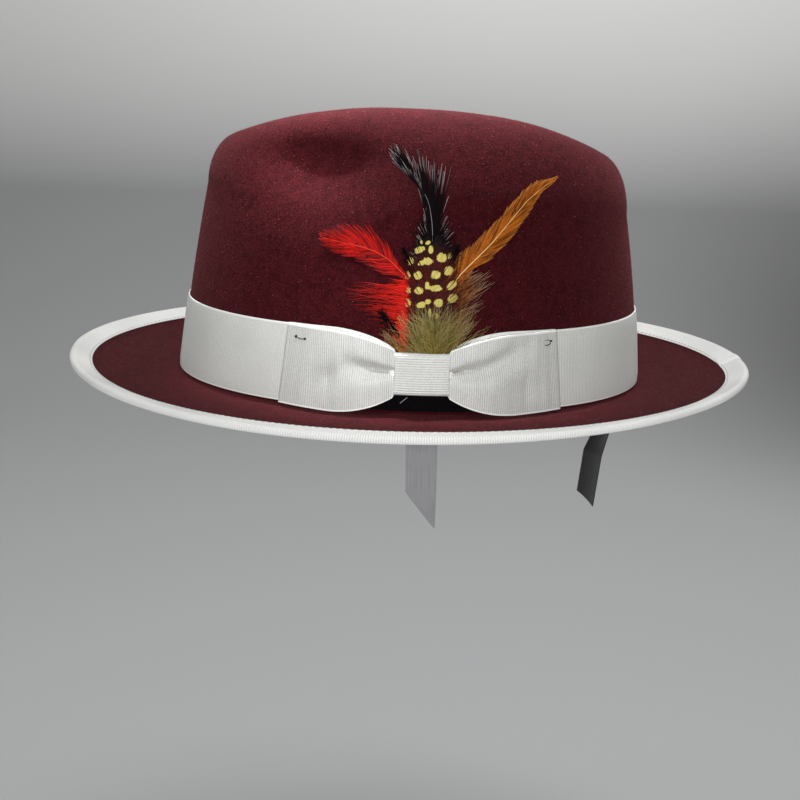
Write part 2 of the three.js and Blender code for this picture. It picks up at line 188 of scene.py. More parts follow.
def add_camera():
    """A camera that looks along +Y and a little down, turned slightly about its own axis."""
    back = Vector((0, -math.cos(VIEW_HEIGHT), math.sin(VIEW_HEIGHT)))
    upright = Vector((0, math.sin(VIEW_HEIGHT), math.cos(VIEW_HEIGHT)))
    level = Vector((1, 0, 0))
    right = level * math.cos(VIEW_ROLL) - upright * math.sin(VIEW_ROLL)
    up = level * math.sin(VIEW_ROLL) + upright * math.cos(VIEW_ROLL)
    data = bpy.data.cameras.new("camera")
    data.lens, data.sensor_width = LENS, FILM_WIDTH
    data.clip_start, data.clip_end = NEAREST, FURTHEST
    camera = bpy.data.objects.new("camera", data)
    place = (Vector(VIEW_TARGET) + back * VIEW_DISTANCE) * MM
    camera.matrix_world = Matrix.Translation(place) @ Matrix((right, up, back)).transposed().to_4x4()
    bpy.context.collection.objects.link(camera)
    bpy.context.scene.camera = camera
    return camera


camera = add_camera()
print("camera at, mm:", [round(v / MM) for v in camera.matrix_world.translation])

# %% The studio's sweep
FLOOR_LEVEL = -0.30  # metres; the hat is held well above it
SWEEP_HALF_WIDTH, SWEEP_FRONT, BEND_FROM, BEND_RADIUS, SWEEP_TOP = 3.0, -2.5, 0.9, 0.9, 3.0
PAPER_NEAR, PAPER_DIM, PAPER_TOP = (0.46, 0.465, 0.47, 1), (0.3, 0.303, 0.307, 1), (1.0, 1.0, 0.98, 1)
FADE_FROM, FADE_TO = 0.2, 1.8  # metres behind the hat over which the painted light on the paper changes
DIMMEST_AT = 0.8  # share of that way at which it is dimmest
SHADED_CORNER = (0.85, 1.15, -0.25)  # the middle of a painted shadow on the paper
SHADED_REACH, SHADED_SHARE = 0.75, 0.25  # its radius in metres, and the tone left at its middle


def make_sweep_paper():
    """Grey paper with painted light: it pales towards the top of the wall, as a lit wall does, and has a
    painted shadow.
    """
    material, tree, here = new_material("sweep_paper")
    # Painted light: the paper is dim low down and pales up the wall.
    back = node(tree, "ShaderNodeSeparateXYZ", here)["Y"]
    tones = node(tree, "ShaderNodeValToRGB", remap(back, FADE_FROM, FADE_TO))
    ramp = tones.made.color_ramp.elements
    ramp[0].color, ramp[1].color = PAPER_NEAR, PAPER_TOP
    ramp.new(DIMMEST_AT).color = PAPER_DIM
    # A painted shadow dims a round patch of the paper.
    away = node(tree, "ShaderNodeVectorMath", here, SHADED_CORNER, props={"operation": "DISTANCE"})["Value"]
    soft = {"interpolation_type": "SMOOTHSTEP"}
    shade = node(tree, "ShaderNodeMapRange", away, 0.0, SHADED_REACH, SHADED_SHARE, 1.0, props=soft)[0]
    paper = node(tree, "ShaderNodeVectorMath", tones["Color"], Scale=shade, props={"operation": "SCALE"})[0]
    return finish(material, paper, Roughness=0.9)


def add_sweep():
    """A floor that curves up into a wall behind the hat, as one smooth strip."""
    r, angles = BEND_RADIUS, np.linspace(0, math.pi / 2, 24)
    arc = [(BEND_FROM + r * math.sin(a), r - r * math.cos(a)) for a in angles]
    profile = [(SWEEP_FRONT, 0.0), *arc, (BEND_FROM + r, SWEEP_TOP)]
    mesh = bpy.data.meshes.new("sweep")
    sides = (-SWEEP_HALF_WIDTH, SWEEP_HALF_WIDTH)
    points = [(x, y, FLOOR_LEVEL + z) for y, z in profile for x in sides]
    faces = [(2 * i, 2 * i + 1, 2 * i + 3, 2 * i + 2) for i in range(len(profile) - 1)]
    mesh.from_pydata(points, [], faces)
    mesh.shade_smooth()
    sweep = bpy.data.objects.new("sweep", mesh)
    bpy.context.collection.objects.link(sweep)
    mesh.materials.append(make_sweep_paper())
    sweep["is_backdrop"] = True
    return sweep


add_sweep()
print("sweep: floor at", FLOOR_LEVEL, "m, bent up from", BEND_FROM, "m behind the hat")

# %% Lamps
HAT = (0.0, 0.0, 0.04)  # metres, as all places of lamps
AIR_LIGHT = 0.19  # even light from all round, which stands for a pale room
# Lamps: name, place, what it looks at, width and watts.
SOFT_LAMPS = [
    ("overhead", (0.12, 0.30, 1.15), HAT, 0.7, 8.8),
    ("beside_camera", (-0.02, -1.50, 0.30), HAT, 0.4, 16),
    ("wall_wash", (0.30, 1.20, 1.60), (0.30, 1.80, 1.00), 0.6, 10),
]
# Spots: name, place, what it looks at, radius, watts and the cone's angle in degrees.
SPOT_LAMPS = [
    ("ceiling_spot", (0.02, 0.20, 1.20), (0.00, 0.002, 0.11), 0.05, 600, 8.4),
    ("pinch_spot", (-0.06, -0.30, 1.18), (-0.052, -0.048, 0.094), 0.03, 120, 3.8),
    ("bow_spot", (-0.17, -0.66, 0.99), (-0.014, -0.080, 0.030), 0.02, 34, 5.4),
]


def add_lamp(kind, name, place, aim, watts, **settings):
    """A lamp that looks at a point. What only its kind has goes by name."""
    data = bpy.data.lights.new(name, kind)
    data.energy = watts
    for key, value in settings.items():
        setattr(data, key, value)
    lamp = bpy.data.objects.new(name, data)
    lamp.location = place
    lamp.rotation_euler = (Vector(aim) - Vector(place)).to_track_quat("-Z", "Y").to_euler()
    bpy.context.collection.objects.link(lamp)


def light_the_air(strength):
    world = bpy.data.worlds.new("pale_room")
    bpy.context.scene.world = world
    world.use_nodes = True
    air = world.node_tree.nodes["Background"]
    air.inputs["Color"].default_value = (1.0, 1.0, 1.0, 1)
    air.inputs["Strength"].default_value = strength


for name, place, aim, size, watts in SOFT_LAMPS:
    add_lamp("AREA", name, place, aim, watts, size=size)
for name, place, aim, radius, watts, cone in SPOT_LAMPS:
    add_lamp(
        "SPOT", name, place, aim, watts, spot_size=math.radians(cone), spot_blend=1.0, shadow_soft_size=radius
    )
light_the_air(AIR_LIGHT)
bpy.context.scene.view_settings.view_transform = "Standard"

# %% [markdown]
# ## Numbers and skins
# Nearly every piece is a grid of points: one way runs round the hat or along a ribbon,
# the other way runs across it. A function of the two gives each point, and one helper
# closes the grid into a skin with a UV map in metres, so that a woven pattern has its
# real scale and follows the ribbon.

# %% Helpers for numbers
def mix(a, b, t):
    return a + (b - a) * t


def smooth(v):
    """0 to 1 with a soft start and a soft end."""
    v = np.clip(v, 0, 1)
    return v * v * (3 - 2 * v)


def xyz(x, y, z):
    return np.stack(np.broadcast_arrays(x, y, z), axis=-1).astype(float)


def unit(v):
    return v / np.maximum(np.linalg.norm(v, axis=-1, keepdims=True), 1e-12)


def run_along(points):
    """Distance covered at each point of a line."""
    return np.concatenate([[0], np.cumsum(np.linalg.norm(np.diff(points, axis=0), axis=-1))])


def bump(x, middle, reach):
    """A smooth hill of height 1."""
    return np.exp(-(((x - middle) / reach) ** 2))


def eased(at, xs, ys, blur):
    """A table read with its corners rounded off over blur."""
    return np.mean([np.interp(at + d, xs, ys) for d in np.linspace(-blur, blur, 9)], axis=0)


# %% Helpers for meshes
def grid_faces(n, m, loops, tubes):
    """Quads over an n by m grid of points, as point numbers and as grid places."""
    i = np.arange(n if loops else n - 1)
    j = np.arange(m if tubes else m - 1)
    i, j = (a.ravel() for a in np.meshgrid(i, j, indexing="ij"))
    places = np.array([[i, j], [i + 1, j], [i + 1, j + 1], [i, j + 1]]).transpose(2, 0, 1)
    return (places[:, :, 0] % n) * m + places[:, :, 1] % m, places


def lengths_along(grid, axis, closed):
    """Distance covered so far along one way of the grid, averaged over the other way."""
    if closed:
        grid = np.concatenate([grid, np.take(grid, [0], axis=axis)], axis=axis)
    steps = np.linalg.norm(np.diff(grid, axis=axis), axis=-1).mean(axis=1 - axis)
    return np.concatenate([[0], np.cumsum(steps)])


def skin(name, grid, loops, tubes, sharp=40):
    """A closed skin over grid[i, j] in mm. loops: the last row meets the first, or else both
    end rows are capped. tubes: each row closes, or else it runs from pole to pole."""
    n, m = grid.shape[:2]
    faces, places = grid_faces(n, m, loops, tubes)
    u = lengths_along(grid, 0, loops)
    v = lengths_along(grid, 1, tubes)
    uv = np.stack([u[places[..., 0]], v[places[..., 1]]], axis=-1) * MM
    faces, uv = list(faces), list(uv)
    if not loops:
        for row, turned in ((0, 1), ((n - 1) * m, -1)):
            for j in range(m // 2 - 1):
                cap = [row + j, row + j + 1, row + m - 2 - j, row + m - 1 - j][::turned]
                faces.append(np.array(cap))
                uv.append(np.zeros((4, 2)))
    faces, uv = np.array(faces), np.array(uv)
    points = grid.reshape(-1, 3) * MM
    a, b, c, d = (points[faces[:, k]] for k in range(4))
    volume = np.einsum("ij,ij->", a, np.cross(b, c)) + np.einsum("ij,ij->", a, np.cross(c, d))
    if volume < 0:
        faces, uv = faces[:, ::-1], uv[:, ::-1]
    mesh = bpy.data.meshes.new(name)
    mesh.from_pydata(points.tolist(), [], faces.tolist())
    layer = mesh.uv_layers.new(name="ribbon")
    layer.uv.foreach_set("vector", np.ascontiguousarray(uv, dtype=np.float32).ravel())
    merge_doubles(mesh)
    mesh.shade_smooth()
    mesh.set_sharp_from_angle(angle=math.radians(sharp))
    return mesh


def merge_doubles(mesh, near=1e-7):
    """Merges points that share a place, which closes poles."""
    work = bmesh.new()
    work.from_mesh(mesh)
    bmesh.ops.remove_doubles(work, verts=work.verts, dist=near)
    bmesh.ops.dissolve_degenerate(work, dist=near, edges=work.edges)
    work.to_mesh(mesh)
    work.free()


def add_piece(name, mesh, material, slot, *replaced):
    """Puts a finished mesh on the hat: its material and the body it rides on. Its slot is not used."""
    piece = bpy.data.objects.new(name, mesh)
    bpy.context.collection.objects.link(piece)
    mesh.materials.clear()
    mesh.materials.append(material)
    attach(piece, "root")
    if replaced:
        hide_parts(*replaced)
    mesh.calc_loop_triangles()
    print(f"{name}: {len(mesh.loop_triangles)} triangles")
    return piece


def dress(name, grid, loops, tubes, material, slot, *replaced):
    """Closes a grid into a skin and puts it on the hat as a piece."""
    return add_piece(name, skin(name, grid, loops, tubes), material, slot, *replaced)


def declare_ribbon(piece, wide, long, held, *rests_on, area=None):
    """Prints the flat size a piece of cloth was cut to, in mm, and how it is held."""
    flat_area = None if area is None else area * MM * MM
    print(f"  {piece.name}: cut {wide:.1f} mm wide and {long:.1f} mm long, held {held}")


# %% [markdown]
# ## The crown's wall
# The wall of the crown is an oval that leans in as it rises. Ribbons, bow, feathers and
# tails all follow it, so it is one formula that every other piece asks for its places.

# %% The wall's formula
GAP = 0.3  # clearance between neighbouring pieces, mm
FELT_THICK = 1.8
CORNER = 1.5  # radius where the wall meets the brim
HALF_LENGTH = 108.0
HALF_WIDTH = 87.3
LEAN = {"front": (0.115, 0.0004), "rear": (0.07, 0.0008), "sides": (0.075, 0.0003)}
SIDE_RISE = 0.9  # how much higher the brim joins the sides than the front


def side_rise(turn):
    return SIDE_RISE * np.sin(turn) ** 2


def lean_in(side, z):
    lean, bend = LEAN[side]
    return lean * z + bend * z * np.abs(z)


def wall_reach(in_front, z):
    return HALF_LENGTH - np.where(in_front, lean_in("front", z), lean_in("rear", z))


def wall_out(turn):
    """Level direction straight out from the wall."""
    return unit(xyz(np.cos(turn) / HALF_LENGTH, np.sin(turn) / HALF_WIDTH, 0 * turn))


def wall_at(turn, z, off=0.0):
    """Points at a height on the wall, off mm outside the felt."""
    turn, z, off = np.broadcast_arrays(turn, z, off)
    x = wall_reach(np.cos(turn) < 0, z) * np.cos(turn)
    y = (HALF_WIDTH - lean_in("sides", z)) * np.sin(turn)
    return xyz(x, y, z) + wall_out(turn) * off[..., None]


def left_turn(x, z):
    """Turn on the left side whose wall point has this x at this height."""
    return -np.arccos(np.clip(x / wall_reach(x < 0, z), -1, 1))


def on_left(x, z, off):
    """Points on the left side by x, height and distance off the felt."""
    x, z, off = np.broadcast_arrays(np.asarray(x, float), z, off)
    return wall_at(left_turn(x, z), z, off)


def even_turns(start, end, z, step, trials=4000):
    """Turns from start to end that are about step mm apart along the wall."""
    fine = np.linspace(start, end, trials)
    so_far = run_along(wall_at(fine, z))
    count = max(2, round(so_far[-1] / step))
    return np.interp(np.linspace(0, so_far[-1], count + 1), so_far, fine)


foot_of_wall = wall_at(np.linspace(0, 2 * np.pi, 999), 0.0)
print("girth at the brim, mm:", round(run_along(foot_of_wall)[-1]))

# %% [markdown]
# ## Felt body
# Crown and brim are blocked from one hood of felt, so they are one mesh. It could be
# sculpted or simulated, but a blocked hat follows rules: a wall, a ridge round the top, a
# dent inside the ridge and two finger dents in front. The section is worked out for each
# direction from the middle, and a few hundred of them make the hat. The inner face is the
# outer face moved in by the felt's thickness, square to it.

# %% Shape of the crown
RIDGE_TOP, RIDGE_TOP_X, RIDGE_LOWER_RIGHT = 123.2, -8.0, 5.0
RIDGE_FALL = {"front": (74, 16.2, 2.05), "rear": (84, 15.8, 2.65)}  # reach, drop, power
RIDGE_SHARE_SIDES, RIDGE_SHARE_ENDS, RIDGE_NARROWER_FRONT = 0.6, 0.83, 0.1
SHOULDER = {"front": 86.0, "rear": 77.0, "sides": 74.0}  # where the wall turns inwards
DENT_X, DENT_FLOOR = 6.0, 97.0
PINCH = {
    "x": -44, "z": 101, "half_length": 29, "above": 12, "below": 19, "deep": 12.5, "sink": 0.2, "fade": 26
}


def ridge_height(x):
    reach, drop, power = (
        np.where(x < RIDGE_TOP_X, f, r) for f, r in zip(RIDGE_FALL["front"], RIDGE_FALL["rear"])
    )
    return RIDGE_TOP - drop * (np.abs(x - RIDGE_TOP_X) / reach) ** power


def pinched(p):
    """The two finger dents in front push the felt in and a little down."""
    x, y, z = np.moveaxis(p, -1, 0)
    half_height = np.where(z > PINCH["z"], PINCH["above"], PINCH["below"])
    away = np.hypot((x - PINCH["x"]) / PINCH["half_length"], (z - PINCH["z"]) / half_height)
    push = PINCH["deep"] * np.exp(-(away**2)) * smooth(np.abs(y) / PINCH["fade"])
    return xyz(x, y - np.sign(y) * push, z - PINCH["sink"] * push)


def crown_section(turn, dent_steps, shoulder_steps, wall_steps):
    """From the middle of the dent over the ridge and down the wall, for each turn."""
    turn = turn[:, None]
    sides = np.sin(turn) ** 2
    in_front = np.cos(turn) < 0
    shoulder_z = mix(np.where(in_front, SHOULDER["front"], SHOULDER["rear"]), SHOULDER["sides"], sides)
    wall_top = wall_at(turn, shoulder_z)
    narrower = np.where(in_front, RIDGE_NARROWER_FRONT * np.sin(2 * turn) ** 2, 0)
    share = mix(RIDGE_SHARE_ENDS, RIDGE_SHARE_SIDES, sides) - narrower
    ridge_x, ridge_y = wall_top[..., 0] * share, wall_top[..., 1] * share
    ridge_z = ridge_height(ridge_x) - np.where(np.sin(turn) > 0, RIDGE_LOWER_RIGHT * sides, 0)

    t = np.linspace(0, 1, dent_steps, endpoint=False)[None]
    dent = xyz(mix(DENT_X, ridge_x, t), mix(0, ridge_y, t), mix(DENT_FLOOR, ridge_z, smooth(t)))
    a = np.linspace(0, math.pi / 2, shoulder_steps)[None]
    shoulder = xyz(
        mix(ridge_x, wall_top[..., 0], np.sin(a)),
        mix(ridge_y, wall_top[..., 1], np.sin(a)),
        mix(shoulder_z, ridge_z, np.cos(a)),
    )
    t = np.linspace(0, 1, wall_steps + 1)[None, 1:]
    wall = wall_at(turn, mix(shoulder_z, side_rise(turn) + CORNER, t))
    return pinched(np.concatenate([dent, shoulder, wall], axis=1))


# %% Shape of the brim
BRIM_HALF_LENGTH, BRIM_HALF_WIDTH = 158.5, 137.0
BRIM_CLIMB = {"front": 4.8, "rear": 6.4, "left": 5.2, "right": 4.4}
BRIM_CURL = {"front": 2.6, "rear": 2.6, "left": -0.8, "right": 2.4}
BRIM_STRAIGHT, BRIM_CURL_FROM, BRIM_TWIST = 0.5, 0.75, 1.2
BINDING_THICK, BINDING_WIDE = 0.45, 9.5
ROLL = FELT_THICK / 2 + GAP + BINDING_THICK  # the binding's outer radius at the brim's edge


def round_brim(sides, turn):
    """The value for a direction, between those for the hat's four sides."""
    ends = np.where(np.cos(turn) < 0, sides["front"], sides["rear"])
    return mix(ends, np.where(np.sin(turn) < 0, sides["left"], sides["right"]), np.sin(turn) ** 2)


def brim_at(turn, t):
    """The brim's upper face at share t of its width: places, directions out and up, width."""
    turn, t = np.broadcast_arrays(turn, t)
    foot = wall_at(turn, 0.0, CORNER)
    edge = xyz((BRIM_HALF_LENGTH - ROLL) * np.cos(turn), (BRIM_HALF_WIDTH - ROLL) * np.sin(turn), 0)
    width = np.linalg.norm(edge - foot, axis=-1)
    twist = np.where(np.sin(turn) < 0, -BRIM_TWIST * np.sin(2 * turn), 0)
    climb = round_brim(BRIM_CLIMB, turn) + twist - side_rise(turn)
    curl = round_brim(BRIM_CURL, turn)
    past = np.clip((t - BRIM_CURL_FROM) / (1 - BRIM_CURL_FROM), 0, 1)
    at = mix(foot, edge, t[..., None])
    at[..., 2] = side_rise(turn) + climb * (BRIM_STRAIGHT * t + (1 - BRIM_STRAIGHT) * t * t) + curl * past**2
    steep = climb * (BRIM_STRAIGHT + 2 * (1 - BRIM_STRAIGHT) * t)
    slope = (steep + 2 * curl * past / (1 - BRIM_CURL_FROM)) / width
    flat = unit(edge - foot)
    out = unit(xyz(flat[..., 0], flat[..., 1], slope))
    up = unit(xyz(-flat[..., 0] * slope, -flat[..., 1] * slope, 1))
    return at, out, up, width


# %% Felt body as one mesh
FELT_TURNS = 268  # sections round the hat
DENT_STEPS, SHOULDER_STEPS, WALL_STEPS, CORNER_STEPS, BRIM_STEPS = 22, 20, 24, 5, 30


def felt_outer(turn):
    crown = crown_section(turn, DENT_STEPS, SHOULDER_STEPS, WALL_STEPS)
    a = np.linspace(0, math.pi / 2, CORNER_STEPS + 1)[None, 1:-1, None]
    foot = crown[:, -1:]
    corner = foot + wall_out(turn)[:, None] * CORNER * (1 - np.cos(a))
    corner[..., 2] -= (CORNER * np.sin(a))[..., 0]
    t = np.linspace(0, 1, BRIM_STEPS + 1)[None]
    return np.concatenate([crown, corner, brim_at(turn[:, None], t)[0]], axis=1)


def moved_in(outer, depth):
    """The grid moved in by depth, square to its surface."""
    round_it = np.roll(outer, -1, axis=0) - np.roll(outer, 1, axis=0)
    down = np.gradient(outer, axis=1)
    square = unit(np.cross(down, round_it))
    square[:, 0] = (0, 0, 1)
    return outer - square * depth


def felt_grid():
    turn = np.linspace(0, 2 * math.pi, FELT_TURNS, endpoint=False)
    outer = felt_outer(turn)
    return np.concatenate([outer, moved_in(outer, FELT_THICK)[:, ::-1]], axis=1)


felt_points = felt_grid()
low, high = felt_points.min(axis=(0, 1)), felt_points.max(axis=(0, 1))
cad_low, cad_high = (np.array(corner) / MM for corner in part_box("felt_body"))
print("felt body, mm:", (high - low).round(1), "packed:", (cad_high - cad_low).round(1))

# %% [markdown]
# ## Finish of the felt
# Fur felt is matt and has a short nap: fibres that lie every way, catch the light and
# blur the hat's outline. Two things make it. The material mottles the colour, draws curled
# fibres as thin lines where a noise crosses its middle value, and adds sheen. Real fibres
# are then grown over the surface with Geometry Nodes.

# %% Felt material
# Tones of the felt: the ground, its darker hollows, its lighter grain and the fibres on it.
FELT_DARK, FELT_LIGHT, FELT_HOLLOW, FELT_GRAIN, FELT_FIBRE = (
    (41, 2, 6), (47, 4, 9), (25, 2, 5), (74, 16, 22), (98, 31, 37)
)
FELT_GLOW = colour(250, 140, 146)


def curled_lines(at, scale, thin, twist):
    """Thin curling lines, 1 on a line and 0 off it: the contour of a twisted noise."""
    return remap((noise(at, scale, 1.0, twist) - 0.5).math("ABSOLUTE"), 0.0, thin, 1.0, 0.0)


def make_felt():
    material, _, here = new_material("burgundy_felt")
    mottle = noise(here, 60.0, 3.0, 0.4)
    nap = noise(here, 900.0, 3.0, 1.4)
    grain = noise(here, 1900.0, 2.0, 0.8)
    fibres = curled_lines(here, 420.0, 0.06, 2.2).math("MAXIMUM", curled_lines(here, 760.0, 0.08, 1.6) * 0.8)
    patchy = remap(noise(here, 260.0, 2.0), 0.25, 0.55)
    base = blend(remap(mottle, 0.3, 0.7), FELT_DARK, FELT_LIGHT)
    base = blend(remap(nap, 0.48, 0.62, 0.0, 0.6), base, FELT_HOLLOW)
    base = blend(remap(grain, 0.54, 0.68, 0.0, 0.45), base, FELT_GRAIN)
    base = blend(fibres * patchy * 0.4, base, FELT_FIBRE)
    height = nap * 0.6 + fibres * 0.35 + grain * 0.3
    return finish(
        material, base, (height, 0.55, 0.0006), Roughness=0.95, Specular_IOR_Level=0.1,
        Sheen_Weight=0.12, Sheen_Roughness=0.35, Sheen_Tint=FELT_GLOW,
    )


felt = make_felt()
felt_body = dress("felt_body_surface", felt_points, True, False, felt, "felt", "felt_body")

# %% [markdown]
# ## Grosgrain ribbon
# Binding, band, bow and knot are grosgrain, a ribbon with fat ribs across its width and a
# flat woven edge along each side. The ribs show as lines of light, so they are in the mesh:
# every ribbon below raises its outer face by the same half-round wave along its length and
# lets it die out at the edges. The finer weave between the ribs stays in the material.

# %% Ribs and ribbon material
RIB_DEEP = 0.13  # mm
RIB_SUNK = 0.6  # share of a rib's height that lies below the ribbon's face
RIBS_FADE = 0.06  # share of half the width over which the ribs die out
STEPS_PER_RIB = 4  # points along one rib
WOVEN_EDGE = (230, 231, 227)
EDGE_FROM, EDGE_TO = 0.75, 0.45  # mm from the ribbon's rim


def ribs(along, pitch, across, ribbed):
    """How far the ribs stand out: along the ribbon in mm, across from -1 to 1. ribbed is the
    share of the ribbon's width that has ribs."""
    wave = np.abs(np.sin(math.pi * along / pitch)) - RIB_SUNK
    return RIB_DEEP * wave * smooth((ribbed - np.abs(across)) / RIBS_FADE)


def make_grosgrain(name, light, dark, pitch, wide=None):
    """Ribbon: painted shade between the ribs, with a fine weave and a lightly soiled tone. One whose
    width is given, in mm, has a paler woven edge along both sides."""
    material, tree, here = new_material(name)
    uv = node(tree, "ShaderNodeUVMap", props={"uv_map": "ribbon"})[0]
    parts = node(tree, "ShaderNodeSeparateXYZ", uv)
    wave = (parts[0] * (math.pi / (pitch * MM))).math("SINE").math("ABSOLUTE")
    yarn = noise(node(tree, "ShaderNodeMapping", uv, Scale=(1.0, 0.35, 1.0))[0], 5200.0)
    weave = noise(here, 1700.0)
    # Painted shade between the ribs: the ribbon is darker where the wave of the ribs is low.
    base = blend(remap(wave, 0.0, 0.75), dark, light)
    base = blend(remap(yarn, 0.35, 0.75, 0.0, 0.35), base, dark)
    base = blend(remap(weave, 0.45, 0.7, 0.0, 0.45), base, dark)
    base = blend(remap(noise(here, 70.0, 3.0), 0.45, 0.8, 0.0, 0.25), base, dark)
    if wide:
        from_middle = (parts[1] - wide * MM / 2).math("ABSOLUTE")
        at_edge = remap(from_middle, (wide / 2 - EDGE_FROM) * MM, (wide / 2 - EDGE_TO) * MM)
        base = blend(at_edge, base, WOVEN_EDGE)
    height = (yarn + weave) * 0.6 + wave
    return finish(
        material, base, (height, 0.4, 0.0002), Roughness=0.62, Specular_IOR_Level=0.35, Sheen_Weight=0.15
    )


# %% [markdown]
# ## Brim binding
# A ribbon is folded over the brim's edge, a leaf above and a leaf below, and sewn through
# all three layers. Its section is a U that follows the brim's curl, carried all the way
# round. At the rear its end is turned under and laid over its start, which leaves a
# step in the ribbon.

# %% Binding
BINDING_RIB, BINDING_RIBBED, BINDING_STEPS_PER_RIB = 1.0, 0.93, 3
JOINT_TURN, JOINT_HALF = 0.035, 3.4  # where the binding's ends overlap, and half its length in mm
JOINT_SOFT, JOINT_RISE = 0.35, 0.42  # mm over which the ribbon steps up there, and how far
EDGE_THINNER = 0.12  # mm
LEAF = BINDING_WIDE - ROLL
LEAF_STEPS, ROLL_STEPS = 4, 6


def binding_fold(turn, raised):
    """One face of the folded ribbon, raised mm from the middle of the felt."""
    edge, out, up, width = brim_at(turn[:, None], 1.0)
    middle = edge - up * FELT_THICK / 2
    a = np.linspace(math.pi / 2, -math.pi / 2, ROLL_STEPS)[None, :, None]
    on_top, on_roll, beneath = np.split(raised[:, :, None], [LEAF_STEPS, LEAF_STEPS + ROLL_STEPS], axis=1)
    roll = middle + out * on_roll * np.cos(a) + up * on_roll * np.sin(a)
    t = 1 - LEAF / width * np.linspace(1, 0, LEAF_STEPS, endpoint=False)[None]
    at, _, square, _ = brim_at(turn[:, None], t)
    above = at + square * (on_top - FELT_THICK / 2)
    below = at[:, ::-1] - square[:, ::-1] * (beneath + FELT_THICK / 2)
    return np.concatenate([above, roll, below], axis=1)


def oval_turns(half_length, half_width, step, trials=6000):
    """Turns round a whole oval, about step mm apart."""
    fine = np.linspace(0, 2 * math.pi, trials)
    so_far = run_along(np.stack([half_length * np.cos(fine), half_width * np.sin(fine)], axis=-1))
    count = round(so_far[-1] / step)
    return np.interp(np.arange(count) * so_far[-1] / count, so_far, fine), so_far[-1]


def binding_grid(turn, girth):
    along = np.arange(len(turn)) * girth / len(turn)
    across = np.linspace(-1, 1, 2 * LEAF_STEPS + ROLL_STEPS)[None]
    joint = smooth((JOINT_HALF - np.abs(turn - JOINT_TURN) * BRIM_HALF_WIDTH) / JOINT_SOFT + 0.5)
    outer = ROLL + ribs(along[:, None], BINDING_RIB, across, BINDING_RIBBED) + JOINT_RISE * joint[:, None]
    outer[:, [0, -1]] -= EDGE_THINNER
    inner = np.full_like(outer, ROLL - BINDING_THICK)
    return np.concatenate([binding_fold(turn, outer), binding_fold(turn, inner)[:, ::-1]], axis=1)


white_ribbon = make_grosgrain("white_grosgrain", (236, 236, 233), (200, 201, 199), BINDING_RIB)
binding_step = BINDING_RIB / BINDING_STEPS_PER_RIB
binding_turns, binding_girth = oval_turns(BRIM_HALF_LENGTH, BRIM_HALF_WIDTH, binding_step)
binding_points = binding_grid(binding_turns, binding_girth)
binding = dress(
    "binding_ribbon_surface", binding_points, True, True, white_ribbon, "binding_ribbon", "brim_binding"
)
declare_ribbon(binding, 2 * LEAF + math.pi * ROLL, binding_girth, "folded", felt_body)

# %% [markdown]
# ## Hat band
# The band is a plain strip round the crown. Its ends meet behind the bow, so it is open
# there. A strip on the wall needs two heights and a thickness, with its edges rounded off.

# %% Band and pad
BAND_THICK, BAND_LOW, BAND_HIGH, BAND_FROM_X, BAND_TO_X = 0.7, 0.9, 34.2, -36.0, 46.0
BAND_RIB, BAND_RIBBED, BAND_ROWS = 0.85, 0.94, 12
BAND_FLATTER = 0.5  # its ribs are pulled flat to this share of their height
EDGE_ROUNDED = 0.35  # share of a strip's thickness that is taken off at its two edges
EDGE_DRAWN_IN = 0.3  # share of that by which the edges also move inwards
PAD_THICK, PAD_LOW, PAD_HIGH, PAD_FROM_X, PAD_TO_X = 1.0, 1.0, 26.5, -28.0, 40.0
PAD_COLUMNS, PAD_ROWS = 60, 12


def wall_strip(turn, low, high, thick, rows, raised=None):
    """A strip on the wall. raised gives how far its outer face stands out at each point."""
    v = np.linspace(-1, 1, rows)[None]
    rounding = thick * EDGE_ROUNDED * (np.abs(v) == 1)
    height = mix(low, high, (v + 1) / 2) + side_rise(turn)[:, None]
    off = GAP + thick - rounding + (0 if raised is None else raised)
    outer = wall_at(turn[:, None], height + rounding * np.sign(-v) * EDGE_DRAWN_IN, off)
    inner = wall_at(turn[:, None], height, GAP)
    return np.concatenate([outer, inner[:, ::-1]], axis=1)


def band_grid():
    start, end = left_turn(BAND_TO_X, 0.0), left_turn(BAND_FROM_X, 0.0) + 2 * math.pi
    turn = even_turns(float(start), float(end), (BAND_LOW + BAND_HIGH) / 2, BAND_RIB / STEPS_PER_RIB)
    along = np.arange(len(turn)) * BAND_RIB / STEPS_PER_RIB
    raised = ribs(along[:, None], BAND_RIB, np.linspace(-1, 1, BAND_ROWS)[None], BAND_RIBBED)
    return wall_strip(turn, BAND_LOW, BAND_HIGH, BAND_THICK, BAND_ROWS, raised * BAND_FLATTER)


def pad_grid():
    turn = np.linspace(left_turn(PAD_FROM_X, 0.0), left_turn(PAD_TO_X, 0.0), PAD_COLUMNS)
    return wall_strip(turn, PAD_LOW, PAD_HIGH, PAD_THICK, PAD_ROWS)


def make_black_felt():
    material, _, here = new_material("black_felt")
    nap = noise(here, 1500.0, 3.0, 1.0)
    base = blend(remap(nap, 0.4, 0.8), (3, 2, 3), (15, 11, 13))
    return finish(material, base, (nap, 0.5, 0.0004), Roughness=0.95, Specular_IOR_Level=0.1)


band_points = band_grid()
grey_ribbon = make_grosgrain(
    "light_grey_grosgrain", (216, 217, 212), (177, 178, 176), BAND_RIB,
    lengths_along(band_points, 1, True)[BAND_ROWS - 1],
)
band = dress("band_surface", band_points, False, True, grey_ribbon, "band_ribbon", "hat_band")
band_length = band_points.shape[0] * BAND_RIB / STEPS_PER_RIB
declare_ribbon(band, BAND_HIGH - BAND_LOW, band_length, "stretched", felt_body)
pad = dress("pad_surface", pad_grid(), False, True, make_black_felt(), "black_felt", "feather_pad")
declare_ribbon(pad, PAD_HIGH - PAD_LOW, PAD_TO_X - PAD_FROM_X, "laid", felt_body)
